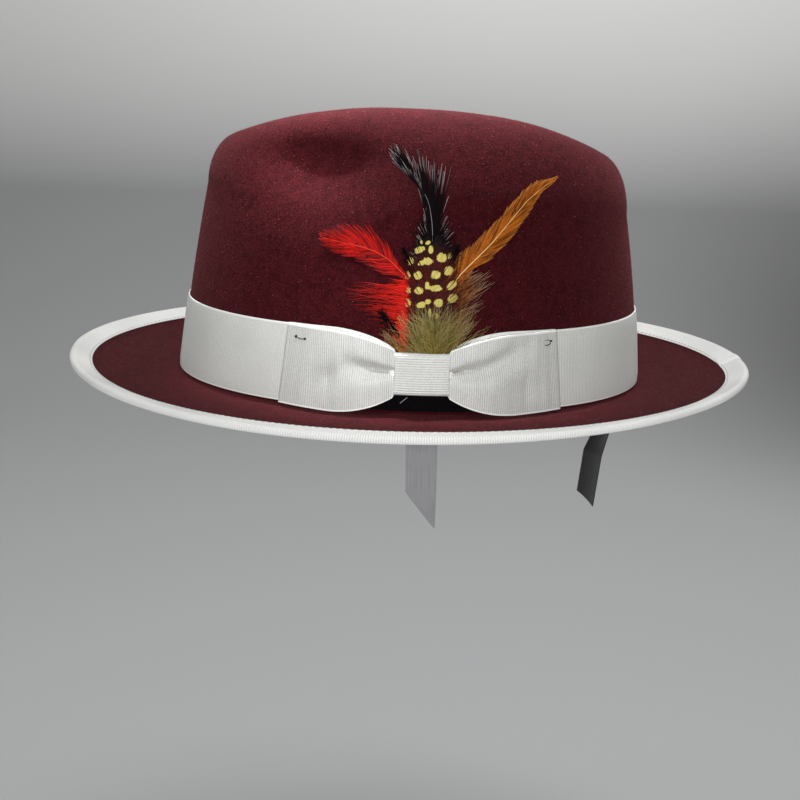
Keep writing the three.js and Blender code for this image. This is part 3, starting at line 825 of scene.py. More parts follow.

# %% [markdown]
# ## Bow and knot
# The bow is one ribbon folded into a flat loop and strapped at its waist. Where the strap
# pulls it together it narrows, and it creases from there outwards. Cloth simulation could
# find such creases, but not these creases, so they are listed one by one: each is a valley
# along a short line, with its own depth and width.

# %% Bow's sizes and creases
BOW_X, BOW_Z, BOW_THICK = 4.8, 18.6, 0.6
BOW_RIB, BOW_RIBBED = 0.95, 0.95
BOW_HALF_HEIGHT, BOW_PINCHED, BOW_PINCH_REACH, BOW_PINCH_POWER = 16.9, 7.1, 28.0, 2.2
BOW_UNDER_KNOT = 7.2  # half height under the strap
STRAP_COVERS, SPRINGS_OVER = 1.2, 1.6  # it widens from this far inside the strap, over this much
BOW_SPREAD, BOW_SPREAD_FROM, BOW_SPREAD_OVER = 1.8, 40.0, 14.0
KNOT_HALF = 11.0
BOW_END = 55.3
# How far the two layers stand off the felt, by distance from the knot's middle.
BOW_FROM = [0, 11.2, 14, 18, 23, 29, 35, 41, 47, 51, BOW_END]
BOW_FRONT = [5.3, 5.3, 6.8, 8.0, 8.6, 8.5, 7.8, 6.8, 5.7, 4.7, 3.9]
BOW_BACK = [4.3, 4.3, 2.4, 1.9, 1.9, 1.9, 1.9, 1.9, 1.9, 1.9, 1.9]
FRONT_BLUR, BACK_BLUR = 1.6, 1.2  # mm over which the corners of those tables are rounded
# Valleys in the front layer, each a row of x, height, depth and half width, all in mm.
VALLEYS = [
    [(-33, 3.0, 0, 5), (-26, 2.0, 3.4, 3.8), (-19, 1.0, 5.2, 2.7), (-11, 0.0, 3.0, 1.6)],
    [(-48, -8, 0, 7), (-37, -3.5, 2.6, 5), (-28, 1, 0, 4)],
    [(11, -0.4, 3.0, 1.6), (17, 1.0, 4.8, 2.7), (25, 2.6, 4.6, 3.6), (34, 7, 3.2, 5), (46, 12, 0, 6)],
    [(30, -2, 0, 6), (42, -6, 1.9, 6), (50, -8, 0, 6)],
]


def valley_depth(x, height):
    """How far the creases push the front layer in."""
    deep = 0
    for valley in VALLEYS:
        at, middle, depth, wide = np.transpose(valley)
        here = np.where((x < at[0]) | (x > at[-1]), 0, np.interp(x, at, depth))
        deep = deep + here * bump(height, np.interp(x, at, middle), np.interp(x, at, wide))
    return deep


# %% Bow
BOW_ROWS = 24
BOW_PUFF, PUFF_AT, PUFF_REACH = 0.9, 32, 14  # the loops puff out, mm, most at this distance


def bow_half_height(distance):
    past = np.clip((distance - KNOT_HALF) / BOW_PINCH_REACH, 0, 1)
    free = BOW_HALF_HEIGHT - BOW_PINCHED * (1 - past) ** BOW_PINCH_POWER
    return mix(BOW_UNDER_KNOT, free, smooth((distance - KNOT_HALF + STRAP_COVERS) / SPRINGS_OVER))


def bow_path():
    """The loop seen from above: x from the middle, distance off the felt, and the tilt of its
    face, from 0, straight out, over the fold at an end to pi, straight in."""
    step = BOW_RIB / STEPS_PER_RIB
    x = np.linspace(-BOW_END, BOW_END, round(2 * BOW_END / step))
    front = eased(np.abs(x), BOW_FROM, BOW_FRONT, FRONT_BLUR)
    back = eased(np.abs(x), BOW_FROM, BOW_BACK, BACK_BLUR)
    radius = (front[-1] - back[-1]) / 2
    a = np.linspace(0, math.pi, round(math.pi * radius / step) + 2)[1:-1]
    fold_x, fold_off = BOW_END + radius * np.sin(a), back[-1] + radius + radius * np.cos(a)
    flat = np.zeros(len(x))
    return (
        np.concatenate([x, fold_x, x[::-1], -fold_x[::-1]]),
        np.concatenate([front, fold_off, back[::-1], fold_off[::-1]]),
        np.concatenate([flat, a, flat + math.pi, a[::-1]]),
    )


def bow_grid():
    x, off, tilt = (a[:, None] for a in bow_path())
    v = np.linspace(-1, 1, BOW_ROWS)[None]
    distance = np.abs(x)
    height = bow_half_height(distance) * v
    on_front = tilt == 0
    spread = np.sign(x) * smooth((distance - BOW_SPREAD_FROM) / BOW_SPREAD_OVER) * BOW_SPREAD
    puffed = BOW_PUFF * (1 - v**2) * bump(distance, PUFF_AT, PUFF_REACH)
    off = off + on_front * (puffed - valley_depth(x, height))
    along = np.arange(len(x))[:, None] * BOW_RIB / STEPS_PER_RIB
    raised = ribs(along, BOW_RIB, v, BOW_RIBBED)

    def face(side, lift):
        reach = side * BOW_THICK / 2 + lift
        on_x = BOW_X + x - spread * v + np.sign(x) * reach * np.sin(tilt)
        return on_left(on_x, BOW_Z + height, off + reach * np.cos(tilt))

    return np.concatenate([face(1, raised), face(-1, 0)[:, ::-1]], axis=1)


bow_points = bow_grid()
bow_grosgrain = make_grosgrain(
    "pale_grey_grosgrain", (212, 213, 209), (160, 161, 159), BOW_RIB,
    lengths_along(bow_points, 1, True)[BOW_ROWS - 1],
)
bow = dress("bow_surface", bow_points, True, True, bow_grosgrain, "bow_ribbon", "bow_ribbon")
bow_length = bow_points.shape[0] * BOW_RIB / STEPS_PER_RIB
declare_ribbon(bow, 2 * BOW_HALF_HEIGHT, bow_length, "folded", band, pad)

# %% Knot
KNOT_LOW, KNOT_HIGH, KNOT_INNER, KNOT_OUTER, KNOT_THICK, KNOT_CORNER = 9.9, 27.2, 2.8, 6.9, 0.9, 1.4
KNOT_RIB, KNOT_RIBBED, KNOT_STEPS, KNOT_COLUMNS, CORNER_POINTS = 0.95, 0.94, 160, 22, 8
KNOT_WAISTED, KNOT_CROWNED = 0.5, 0.35  # mm that its sides draw in and its front stands out
WAIST_REACH, FRONT_WITHIN = 9, 0.2  # half the waist's height, and the front face's depth, in mm


def knot_path(inset):
    """A rounded rectangle in height and distance off the felt, evenly stepped."""
    r = KNOT_CORNER - inset
    a = np.linspace(0, math.pi / 2, CORNER_POINTS)
    high, low = KNOT_HIGH - KNOT_CORNER, KNOT_LOW + KNOT_CORNER
    outer, inner = KNOT_OUTER - KNOT_CORNER, KNOT_INNER + KNOT_CORNER
    corners = [(high, outer, 0), (low, outer, 1), (low, inner, 2), (high, inner, 3)]
    z = np.concatenate([z + r * np.cos(a + quarter * math.pi / 2) for z, _, quarter in corners])
    off = np.concatenate([o + r * np.sin(a + quarter * math.pi / 2) for _, o, quarter in corners])
    z, off = np.append(z, z[0]), np.append(off, off[0])
    so_far = run_along(np.stack([z, off], axis=-1))
    at = np.linspace(0, so_far[-1], KNOT_STEPS, endpoint=False)
    return np.interp(at, so_far, z), np.interp(at, so_far, off), at


def knot_grid():
    outer_z, outer_off, along = knot_path(0)
    inner_z, inner_off, _ = knot_path(KNOT_THICK)
    v = np.linspace(-1, 1, KNOT_COLUMNS)[None]
    waist = KNOT_WAISTED * (1 - ((outer_z[:, None] - BOW_Z) / WAIST_REACH) ** 2)
    x = BOW_X + v * (KNOT_HALF - waist)
    raised = ribs(along[:, None], KNOT_RIB, v, KNOT_RIBBED)
    front = (outer_off > KNOT_OUTER - FRONT_WITHIN)[:, None]
    crowned = KNOT_CROWNED * (1 - v**2) * front
    outer = on_left(x, outer_z[:, None], outer_off[:, None] + np.where(front, raised, 0) + crowned)
    inner = on_left(x, inner_z[:, None], inner_off[:, None])
    return np.concatenate([outer, inner[:, ::-1]], axis=1)


knot_grosgrain = make_grosgrain("white_grey_grosgrain", (216, 217, 213), (158, 159, 157), KNOT_RIB)
knot = dress("knot_surface", knot_grid(), True, True, knot_grosgrain, "bow_ribbon", "bow_knot")
declare_ribbon(knot, 2 * KNOT_HALF, knot_path(0)[2][-1], "folded", bow)


# %% [markdown]
# ## Growing fine things
# Barbs, nap, stitches and strays are many small copies of one simple form. Geometry Nodes
# places such copies by rule: a tree takes a plain mesh, such as a quill or a seam line,
# and grows the copies on it. Two helpers build a tree with named inlets and run it over a
# mesh, and what comes back is an ordinary mesh.

# %% Trees and how they are run
SOCKETS = {float: "NodeSocketFloat", int: "NodeSocketInt"}


def new_tree(name, **inlets):
    """A tree with a geometry inlet, named inlets for its sizes and a material inlet."""
    tree = bpy.data.node_groups.new(name, "GeometryNodeTree")
    sockets = [("Geometry", "NodeSocketGeometry", None)]
    sockets += [(label.replace("_", " "), SOCKETS[type(size)], size) for label, size in inlets.items()]
    for label, kind, size in [*sockets, ("Material", "NodeSocketMaterial", None)]:
        inlet = tree.interface.new_socket(label, in_out="INPUT", socket_type=kind)
        if size is not None:
            inlet.default_value = size
    tree.interface.new_socket("Geometry", in_out="OUTPUT", socket_type="NodeSocketGeometry")
    return tree, node(tree, "NodeGroupInput")


def end_tree(given, geometry):
    """Makes the instances real, gives them their material and ends the tree."""
    tree = geometry.tree
    real = node(tree, "GeometryNodeRealizeInstances", geometry)[0]
    done = node(tree, "GeometryNodeSetMaterial", Geometry=real, Material=given["Material"])[0]
    node(tree, "NodeGroupOutput", done)
    print(f"{tree.name} tree: {len(tree.nodes)} nodes")
    return tree


def grow(name, source, tree, material, **sizes):
    """Runs a tree over a mesh and returns what it grew as a plain mesh."""
    holder = bpy.data.objects.new(name, source)
    bpy.context.collection.objects.link(holder)
    modifier = holder.modifiers.new("growth", "NODES")
    modifier.node_group = tree
    values = {label.replace("_", " "): value for label, value in sizes.items()}
    values["Material"] = material
    for item in tree.interface.items_tree:
        if item.in_out == "INPUT" and item.name in values:
            modifier[item.identifier] = values[item.name]
    depsgraph = bpy.context.evaluated_depsgraph_get()
    mesh = bpy.data.meshes.new_from_object(holder.evaluated_get(depsgraph), depsgraph=depsgraph)
    mesh.name = name
    bpy.data.objects.remove(holder)
    return mesh


# %% Steps that the trees share
def given_by(tree, name):
    """Reads a number that the mesh carries by name."""
    return node(tree, "GeometryNodeInputNamedAttribute", props={"data_type": "FLOAT"}, Name=name)["Attribute"]


def keep(geometry, domain, name, value):
    """Writes a number onto the geometry under a name, for later nodes and for materials."""
    return node(
        geometry.tree, "GeometryNodeStoreNamedAttribute", props={"data_type": "FLOAT", "domain": domain},
        Geometry=geometry, Name=name, Value=value,
    )[0]


def chance(tree, low, high, seed):
    """A random number between low and high for each element."""
    return node(tree, "FunctionNodeRandomValue", numbered={2: low, 3: high, 8: seed})[1]


def vector(tree, x, y, z):
    return node(tree, "ShaderNodeCombineXYZ", x, y, z)[0]


def points_along(curve, step):
    spaced = {"mode": "LENGTH"}
    return node(curve.tree, "GeometryNodeResampleCurve", props=spaced, Curve=curve, Length=step)[0]


def copies(points, form, turn, size):
    """Sets a copy of a form on each point."""
    tree = points.tree
    return node(
        tree, "GeometryNodeInstanceOnPoints", Points=points, Instance=form, Rotation=turn, Scale=size
    )[0]


def turned(turn, by):
    """Adds a turn about the form's own axes."""
    local = {"rotation_space": "LOCAL"}
    return node(turn.tree, "FunctionNodeRotateRotation", props=local, Rotation=turn, Rotate_By=by)[0]


def joined(tree, *parts):
    made = node(tree, "GeometryNodeJoinGeometry")
    for part in parts:
        tree.links.new(part.outlet, made.made.inputs[0])
    return made[0]


def swept(curve, radius, profile, normal):
    """Sweeps a profile along curves, with this radius."""
    tree = curve.tree
    curve = node(tree, "GeometryNodeSetCurveRadius", Curve=curve, Radius=radius)[0]
    curve = node(tree, "GeometryNodeSetCurveNormal", props={"mode": normal}, Curve=curve)[0]
    size = node(tree, "GeometryNodeInputRadius")[0]
    return node(
        tree, "GeometryNodeCurveToMesh", Curve=curve, Profile_Curve=profile, Scale=size, Fill_Caps=True
    )[0]


# %% [markdown]
# ## Feathers
# A feather is a tapering quill with barbs on both sides, each a fine flat strand that
# leaves the quill at an angle and bends towards the tip. Flat cards with a pattern would
# look cut out, so every barb is made. The quill is a chain of edges laid out flat, and it
# carries how far the barbs reach on each side. A tree grows the barbs along it, with
# clumps, splits and uneven ends, and the finished feather is then wrapped on the crown.

# %% The barb tree
CLUMPS_PER_METRE = 420.0
TIP_LEFT = 0.2  # what is left of a barb's or quill's thickness at its tip


def barb_drift(tree, given):
    """How far each point of a barb strays: it curls sideways and lifts off, most at its end."""
    at = node(tree, "GeometryNodeInputPosition")[0]
    own, place = given_by(tree, "chance") * 9.0, given_by(tree, "place")
    drift = {"noise_dimensions": "4D"}
    made = node(tree, "ShaderNodeTexNoise", props=drift, Vector=at, W=own, Scale=230.0, Detail=1.0)
    parts = node(tree, "ShaderNodeSeparateXYZ", made["Color"])
    sideways, upwards = given["Curl"] * 2.0 * place, given["Lift"] * place
    return vector(tree, (parts[0] - 0.5) * sideways, (parts[1] - 0.5) * sideways, (parts[2] - 0.3) * upwards)


def barbs_on(roots, given, heading, side, reach):
    """Barbs on one side: side is 1 for left and -1 for right, reach names what the quill carries."""
    tree = roots.tree
    place = given_by(tree, "run") * CLUMPS_PER_METRE + given["Seed"] * (7.3 + side)
    along = {"noise_dimensions": "1D"}
    clump = node(tree, "ShaderNodeTexNoise", props=along, W=place, Scale=1.0, Detail=2.0)["Fac"]
    clump = (clump - 0.5) * given["Clumping"]
    stray = chance(tree, -1.0, 1.0, given["Seed"] + (10.0 + side)) * given["Disorder"]
    turn = heading + (given_by(tree, reach + "_sweep") + (clump + stray)) * side
    uneven = chance(tree, -1.0, 0.6, given["Seed"] + (20.0 + side)) * given["Uneven"]
    length = given_by(tree, reach) * (uneven + 1.0)
    end = vector(tree, 1.0, given["Bend"] * -side, 0.0)
    barb = node(
        tree, "GeometryNodeCurveQuadraticBezier", Resolution=6, Start=(0, 0, 0), Middle=(0.5, 0, 0), End=end
    )[0]
    barbs = copies(roots, barb, vector(tree, 0.0, 0.0, turn), vector(tree, length, length, 1.0))
    return keep(barbs, "INSTANCE", "chance", chance(tree, 0.0, 1.0, 5))


def make_barb_tree():
    tree, given = new_tree(
        "barbs", Spacing=0.0004, Barb_Width=0.0005, Uneven=0.1, Disorder=0.05, Clumping=0.15, Bend=0.12,
        Curl=0.0, Lift=0.0008, Quill_Width=0.0008, Seed=1,
    )
    quill = node(tree, "GeometryNodeMeshToCurve", given["Geometry"])[0]
    roots = points_along(quill, given["Spacing"])
    tangent = node(tree, "ShaderNodeSeparateXYZ", node(tree, "GeometryNodeInputTangent")[0])
    heading = tangent[1].math("ARCTAN2", tangent[0])
    sides = [barbs_on(roots, given, heading, side, reach) for side, reach in ((1.0, "left"), (-1.0, "right"))]
    strands = node(tree, "GeometryNodeRealizeInstances", joined(tree, *sides))[0]
    strands = keep(strands, "POINT", "place", node(tree, "GeometryNodeSplineParameter")["Factor"])
    strands = node(tree, "GeometryNodeSetPosition", Geometry=strands, Offset=barb_drift(tree, given))[0]
    slim = 1.0 - given_by(tree, "place").math("POWER", 2.0) * (1.0 - TIP_LEFT)
    flat = node(tree, "GeometryNodeCurvePrimitiveQuadrilateral", Width=2.0, Height=0.4)[0]
    strands = keep(swept(strands, given["Barb Width"] * 0.5 * slim, flat, "Z_UP"), "POINT", "shaft", 0.0)
    taper = 1.0 - given_by(tree, "along") * (1.0 - TIP_LEFT)
    rod = node(tree, "GeometryNodeCurvePrimitiveCircle", Resolution=6, Radius=1.0)[0]
    shaft = swept(quill, given["Quill Width"] * 0.5 * taper, rod, "MINIMUM_TWIST")
    return end_tree(given, joined(tree, strands, keep(shaft, "POINT", "shaft", 1.0)))


barb_tree = make_barb_tree()


# %% Quills
QUILL_POINTS, QUILL_SMOOTHED = 240, 2.0  # the latter in mm


def quill_line(name, rows, foot=0.0):
    """A quill in flat coordinates from rows of x, z, off, left, right and sweep, in mm and
    degrees. Each point carries the length that a barb needs there to end on the outline."""
    rows = np.array(rows, float)
    run = run_along(rows[:, :2])
    at = np.linspace(0, run[-1], QUILL_POINTS)
    x, z, off, left, right, sweep = (eased(at, run, rows[:, k], QUILL_SMOOTHED) for k in range(6))
    sweep = np.radians(sweep)
    columns = {"along": at / run[-1], "run": at * MM}
    for side, wide in (("left", left), ("right", right)):
        start = np.maximum.accumulate(at - wide / np.tan(sweep))
        length = np.interp(at, start, wide / np.sin(sweep), right=0)
        columns[side] = np.where(at > foot, length, 0) * MM
        columns[side + "_sweep"] = np.interp(at, start, sweep)
    mesh = bpy.data.meshes.new(name)
    points = np.stack([x, z, off], axis=1) * MM
    mesh.from_pydata(points.tolist(), [(i, i + 1) for i in range(len(at) - 1)], [])
    for label, values in columns.items():
        mesh.attributes.new(label, "FLOAT", "POINT").data.foreach_set("value", values.astype(np.float32))
    return mesh


def lay_on_crown(mesh):
    """Wraps a mesh in flat coordinates on the crown's left side, and keeps those as its UV map."""
    flat = np.empty(len(mesh.vertices) * 3, dtype=np.float32)
    mesh.vertices.foreach_get("co", flat)
    flat = flat.reshape(-1, 3)
    corner = np.empty(len(mesh.loops), dtype=np.int32)
    mesh.loops.foreach_get("vertex_index", corner)
    layer = mesh.uv_layers.new(name="flat")
    layer.uv.foreach_set("vector", np.ascontiguousarray(flat[corner, :2]).ravel())
    x, z, off = flat.astype(float).T / MM
    mesh.vertices.foreach_set("co", (on_left(x, z, off) * MM).astype(np.float32).ravel())
    mesh.update()
    mesh.shade_smooth()


def add_feather(name, rows, material, slot, replaced=(), foot=0.0, **sizes):
    """Grows a feather on its quill and wraps it on the crown."""
    mesh = grow(name, quill_line(name + "_quill", rows, foot), barb_tree, material, **sizes)
    lay_on_crown(mesh)
    return add_piece(name, mesh, material, slot, *replaced)


# %% Feather colours
def strand_value(tree, name):
    """A number that the strands carry, such as place: 0 at the quill and 1 at the tip."""
    return node(tree, "ShaderNodeAttribute", props={"attribute_name": name})["Fac"]


def make_vane(
    name, dark, light, tip, quill, streak=0.5, tip_from=0.55, tipped=0.35, rough=0.55, glint=0.12, paint=None
):
    """A feather's finish: each barb has its own tone, and its end and the quill have theirs.
    paint may add a pattern to the colour."""
    material, tree, here = new_material(name)
    tone = strand_value(tree, "chance") * streak + noise(here, 140.0) * (1.0 - streak)
    base = blend(remap(tone, 0.15, 0.8), dark, light)
    end = remap(strand_value(tree, "place"), tip_from, 1.0)
    base = blend(end * remap(strand_value(tree, "chance"), 0.0, 1.0, tipped, 1.0), base, tip)
    base = blend(strand_value(tree, "shaft"), base, quill)
    if paint:
        base = paint(tree, base)
    relief = (noise(here, 2600.0, 1.0), 0.3, 0.0002)
    return finish(material, base, relief, Roughness=rough, Specular_IOR_Level=glint)


# %% Red feather
# Rows of a quill: x, height, distance off the felt, the blade's reach to its left and
# right, and the angle in degrees at which barbs leave the quill.
RED_ROWS = [
    (2.0, 11, 2.1, 0, 0, 60), (2.0, 40, 1.4, 0, 0, 60), (0.6, 52, 1.5, 0.5, 0.5, 60),
    (-2.4, 57.5, 1.6, 1.2, 0.8, 60), (-5.4, 60.1, 1.8, 4.4, 1.4, 58), (-9.3, 63.8, 2.0, 8.6, 2.8, 54),
    (-14.3, 66.8, 2.1, 9.4, 6.2, 48), (-19.7, 68.6, 2.3, 9.8, 9.2, 44), (-26.3, 69.8, 2.4, 8.8, 8.6, 38),
    (-31.5, 70.6, 2.4, 6.4, 7.2, 33), (-35.6, 71.3, 2.4, 3.6, 4.6, 28), (-38.6, 72.2, 2.3, 1.2, 1.8, 22),
]
RED_FLUFF_ROWS = [
    (-2.5, 11, 2.1, 0, 0, 80), (-2.5, 25, 1.4, 1, 1, 80), (-2.5, 31, 1.2, 4, 2, 78),
    (-2.6, 36, 1.2, 6.5, 3, 76), (-2.7, 41, 1.2, 10.5, 4, 76), (-2.8, 46, 1.2, 15.5, 5, 78),
    (-3.0, 51, 1.3, 19.5, 6, 80), (-3.2, 54.5, 1.4, 20.5, 6, 82), (-3.6, 56.5, 1.4, 11, 3, 80),
    (-3.9, 57.5, 1.4, 1, 0.5, 78),
]
red_vane = make_vane(
    "red_vane", (62, 2, 2), (192, 16, 7), (96, 10, 10), (208, 66, 50), streak=0.65
)
red_fluff_vane = make_vane(
    "bright_red_vane", (120, 5, 2), (218, 24, 5), (76, 8, 10), (150, 30, 22), tip_from=0.35
)
add_feather(
    "red_feather_vane", RED_ROWS, red_vane, "red_feather", ["feather_red"], foot=40.0,
    Spacing=0.00024, Barb_Width=0.00044, Uneven=0.14, Disorder=0.05, Clumping=0.5, Bend=0.2, Seed=3,
)
add_feather(
    "red_feather_fluff", RED_FLUFF_ROWS, red_fluff_vane, "red_feather",
    Spacing=0.00016, Barb_Width=0.0003, Uneven=0.5, Disorder=0.14, Clumping=0.7, Bend=-0.1, Curl=0.003,
    Lift=0.002, Quill_Width=0.0002, Seed=4,
)

# %% Black feather
BLACK_ROWS = [
    (1.5, 11, 2.1, 0, 0, 50), (2.5, 40, 2.6, 0.5, 0.5, 50), (5.0, 58, 3.0, 4, 4, 52),
    (6.8, 66, 3.2, 8, 9, 56), (7.2, 73.7, 3.3, 7, 8.5, 48), (6.8, 79.1, 3.3, 4.8, 6.0, 32),
    (5.5, 86.6, 3.3, 3.8, 4.6, 19), (3.7, 90.8, 3.3, 4.4, 6.2, 15), (0.9, 95.0, 3.3, 5.0, 6.8, 14),
    (-2.4, 99.1, 3.3, 4.8, 5.4, 14), (-6.3, 104.3, 3.3, 3.4, 4.2, 14), (-9.0, 108.4, 3.2, 1.8, 2.2, 13),
    (-9.8, 110.0, 3.1, 0.6, 0.6, 12),
]
# The pale ends on some of the black feather's barbs are a painted highlight.
black_vane = make_vane(
    "black_vane", (2, 1, 2), (14, 6, 8), (196, 184, 184), (120, 116, 116),
    tip_from=0.62, tipped=-0.9, rough=0.7, glint=0.06,
)
add_feather(
    "black_feather_vane", BLACK_ROWS, black_vane, "black_feather", ["feather_black"],
    Spacing=0.00036, Barb_Width=0.00036, Uneven=0.22, Disorder=0.05, Clumping=0.22, Bend=0.05, Curl=0.0008,
    Quill_Width=0.0006, Seed=5,
)
BLACK_FLUFF_ROWS = [
    (1.5, 11, 2.1, 0, 0, 60), (5.0, 56, 2.8, 2, 2, 60), (6.8, 66, 2.9, 9, 10, 62),
    (7.2, 73.7, 3.0, 9, 10, 58), (6.9, 79, 3.0, 6, 7, 50), (6.0, 84, 3.0, 2, 2, 40),
]
black_fluff_vane = make_vane(
    "black_fluff_vane", (2, 1, 2), (10, 4, 6), (30, 18, 20), (20, 16, 16), rough=0.8, glint=0.04
)
add_feather(
    "black_feather_fluff", BLACK_FLUFF_ROWS, black_fluff_vane, "black_feather",
    Spacing=0.00014, Barb_Width=0.0002, Uneven=0.55, Disorder=0.3, Clumping=0.4, Bend=0.05, Curl=0.004,
    Lift=0.002, Quill_Width=0.0003, Seed=6,
)

# %% Brown feather
BROWN_ROWS = [
    (13.0, 11, 2.1, 0, 0, 40), (13.2, 30, 1.6, 0.5, 0.5, 40), (14.0, 44, 1.4, 1.5, 1, 38),
    (15.4, 52, 1.5, 3, 1.5, 36), (18.6, 58.6, 1.7, 4.4, 3.4, 31), (23.8, 64.1, 1.9, 5.0, 4.6, 28),
    (30.1, 70.6, 2.1, 5.8, 4.9, 25), (36.4, 78.2, 2.2, 5.8, 4.8, 22), (40.6, 83.6, 2.3, 5.6, 4.5, 20),
    (44.8, 88.8, 2.4, 4.9, 4.1, 18), (49.2, 92.7, 2.5, 3.6, 3.4, 16), (53.6, 95.9, 2.5, 1.8, 2.0, 14),
    (57.6, 98.6, 2.5, 0.2, 0.2, 12),
]
BROWN_FAN_ROWS = [
    (13.0, 11, 1.6, 0, 0, 64), (13.2, 30, 1.4, 0, 6, 62), (13.6, 36.6, 1.4, 0, 9.5, 62),
    (14.4, 43, 1.4, 0, 12.0, 60), (15.6, 49, 1.5, 0, 13.2, 58), (17.4, 55, 1.6, 0, 13.0, 55),
    (20.0, 60, 1.7, 0, 11.5, 52), (21.6, 62, 1.7, 0, 2, 50),
]
brown_vane = make_vane(
    "brown_vane", (64, 26, 3), (184, 100, 20), (196, 128, 58), (230, 190, 132),
    streak=0.6, tip_from=0.7,
)
tawny_vane = make_vane(
    "tawny_vane", (66, 28, 5), (122, 66, 18), (176, 150, 122), (190, 150, 100), tip_from=0.6
)
add_feather(
    "brown_feather_vane", BROWN_ROWS, brown_vane, "brown_feather", ["feather_brown"],
    Spacing=0.00026, Barb_Width=0.0004, Uneven=0.07, Disorder=0.015, Clumping=0.1, Bend=0.05, Seed=8,
)
add_feather(
    "brown_feather_fan", BROWN_FAN_ROWS, tawny_vane, "brown_feather",
    Spacing=0.00024, Barb_Width=0.0003, Uneven=0.4, Disorder=0.08, Clumping=0.55, Bend=0.12, Curl=0.0016,
    Quill_Width=0.0003, Seed=9,
)

# %% Spotted feather
SPOTTED_ROWS = [
    (5.5, 11, 2.1, 0, 0, 58), (5.7, 28, 3.0, 2, 2, 58), (6.4, 36, 4.0, 8, 8, 58),
    (7.4, 44, 4.2, 10.8, 11.2, 56), (7.8, 52, 4.3, 11.8, 12, 52), (7.8, 61, 4.4, 11.6, 11.4, 44),
    (7.5, 67, 4.4, 10, 9.6, 38), (7.2, 72.0, 4.4, 6.4, 6.2, 32), (7.1, 75.5, 4.4, 1.5, 1.5, 30),
]
# Spots of the feather: x, height, half width, half height, and lean in degrees.
SPOTS = [
    (-1.6, 64.5, 1.5, 1.6, 20), (3.2, 63.8, 1.4, 1.0, 15), (5.4, 64.6, 1.9, 1.4, 0),
    (-2.5, 58.9, 1.3, 1.7, 25), (1.9, 58.7, 1.5, 1.6, 0), (8.9, 59.2, 1.8, 1.6, 0),
    (14.0, 60.9, 1.9, 1.8, 0), (-2.3, 52.9, 1.3, 1.6, 40), (2.5, 52.7, 1.6, 1.4, 0),
    (5.6, 54.9, 0.8, 1.5, 0), (9.1, 53.8, 2.2, 1.3, 5), (6.7, 54.0, 0.9, 0.7, 0),
    (15.4, 55.2, 2.1, 1.4, 40), (-2.0, 47.5, 1.4, 1.6, 20), (3.6, 46.9, 1.7, 1.2, 15),
    (6.2, 48.3, 1.1, 1.0, 40), (10.4, 47.9, 1.7, 1.6, 0), (16.0, 49.9, 1.9, 1.6, 40),
    (7.1, 43.6, 0.6, 1.7, 0), (9.5, 42.5, 1.4, 0.9, 0), (1.9, 69.0, 2.4, 1.2, 20),
    (6.5, 69.2, 0.9, 1.6, 0), (10.8, 66.2, 2.0, 1.7, -5), (14.0, 67.0, 0.7, 1.3, -15),
    (2.7, 72.2, 0.6, 0.8, 0), (5.3, 72.0, 1.0, 0.7, 30), (-2.5, 68.4, 0.6, 1.1, 10),
]
SPOT_TONE, TOP_TONE = (192, 178, 96), (8, 3, 4)
DARK_FROM, DARK_TO = 0.064, 0.073  # metres up the crown over which the feather's top darkens
RIM_FROM, RIM_TO = 1.12, 0.94  # a spot's rim fades over these shares of its half width


def spotted(tree, base):
    """Darkens the feather's top and paints the spots, ovals with a slightly wavering rim."""
    flat = node(tree, "ShaderNodeUVMap", props={"uv_map": "flat"})[0]
    height = node(tree, "ShaderNodeSeparateXYZ", flat)[1]
    base = blend(remap(height, DARK_FROM, DARK_TO), base, TOP_TONE)
    waver = (noise(flat, 700.0, 1.0) - 0.5) * 0.5 + (strand_value(tree, "chance") - 0.5) * 0.22
    cover = 0.0
    for x, z, wide, high, lean in SPOTS:
        placed = node(
            tree, "ShaderNodeMapping", flat, props={"vector_type": "TEXTURE"}, Location=(x * MM, z * MM, 0),
            Rotation=(0, 0, math.radians(lean)), Scale=(wide * MM, high * MM, 1),
        )[0]
        reach = node(tree, "ShaderNodeVectorMath", placed, props={"operation": "LENGTH"})["Value"]
        cover = remap(reach + waver, RIM_FROM, RIM_TO).math("MAXIMUM", cover)
    return blend(cover, base, SPOT_TONE)


spotted_vane = make_vane(
    "spotted_vane", (30, 5, 4), (70, 14, 8), (16, 6, 6), (50, 18, 12), tip_from=0.8, paint=spotted
)
add_feather(
    "spotted_feather_vane", SPOTTED_ROWS, spotted_vane, "spotted_feather", ["feather_spotted"],
    Spacing=0.00028, Barb_Width=0.0005, Uneven=0.12, Disorder=0.04, Clumping=0.2, Bend=0.12, Seed=11,
)

# %% Down
DOWN_ROWS = [
    (9.0, 11, 2.6, 5, 5, 44), (9.0, 22, 4.4, 10.5, 9.5, 42), (9.0, 27, 5.2, 13, 12, 40),
    (9.0, 32, 5.6, 13, 12.5, 35), (9.0, 37, 5.7, 11.5, 12, 29), (9.0, 41, 5.7, 8, 9, 24),
    (9.0, 43.5, 5.7, 2, 2.5, 20),
]
down_vane = make_vane(
    "olive_down", (60, 50, 18), (132, 116, 56), (180, 166, 112), (84, 66, 30),
    streak=0.6, rough=0.8, glint=0.15,
)
add_feather(
    "down_barbs", DOWN_ROWS, down_vane, "olive_down", ["feather_down"],
    Spacing=0.00006, Barb_Width=0.0002, Uneven=0.6, Disorder=0.45, Clumping=0.5, Bend=-0.06, Curl=0.0045,
    Lift=0.005, Quill_Width=0.0003, Seed=14,
)

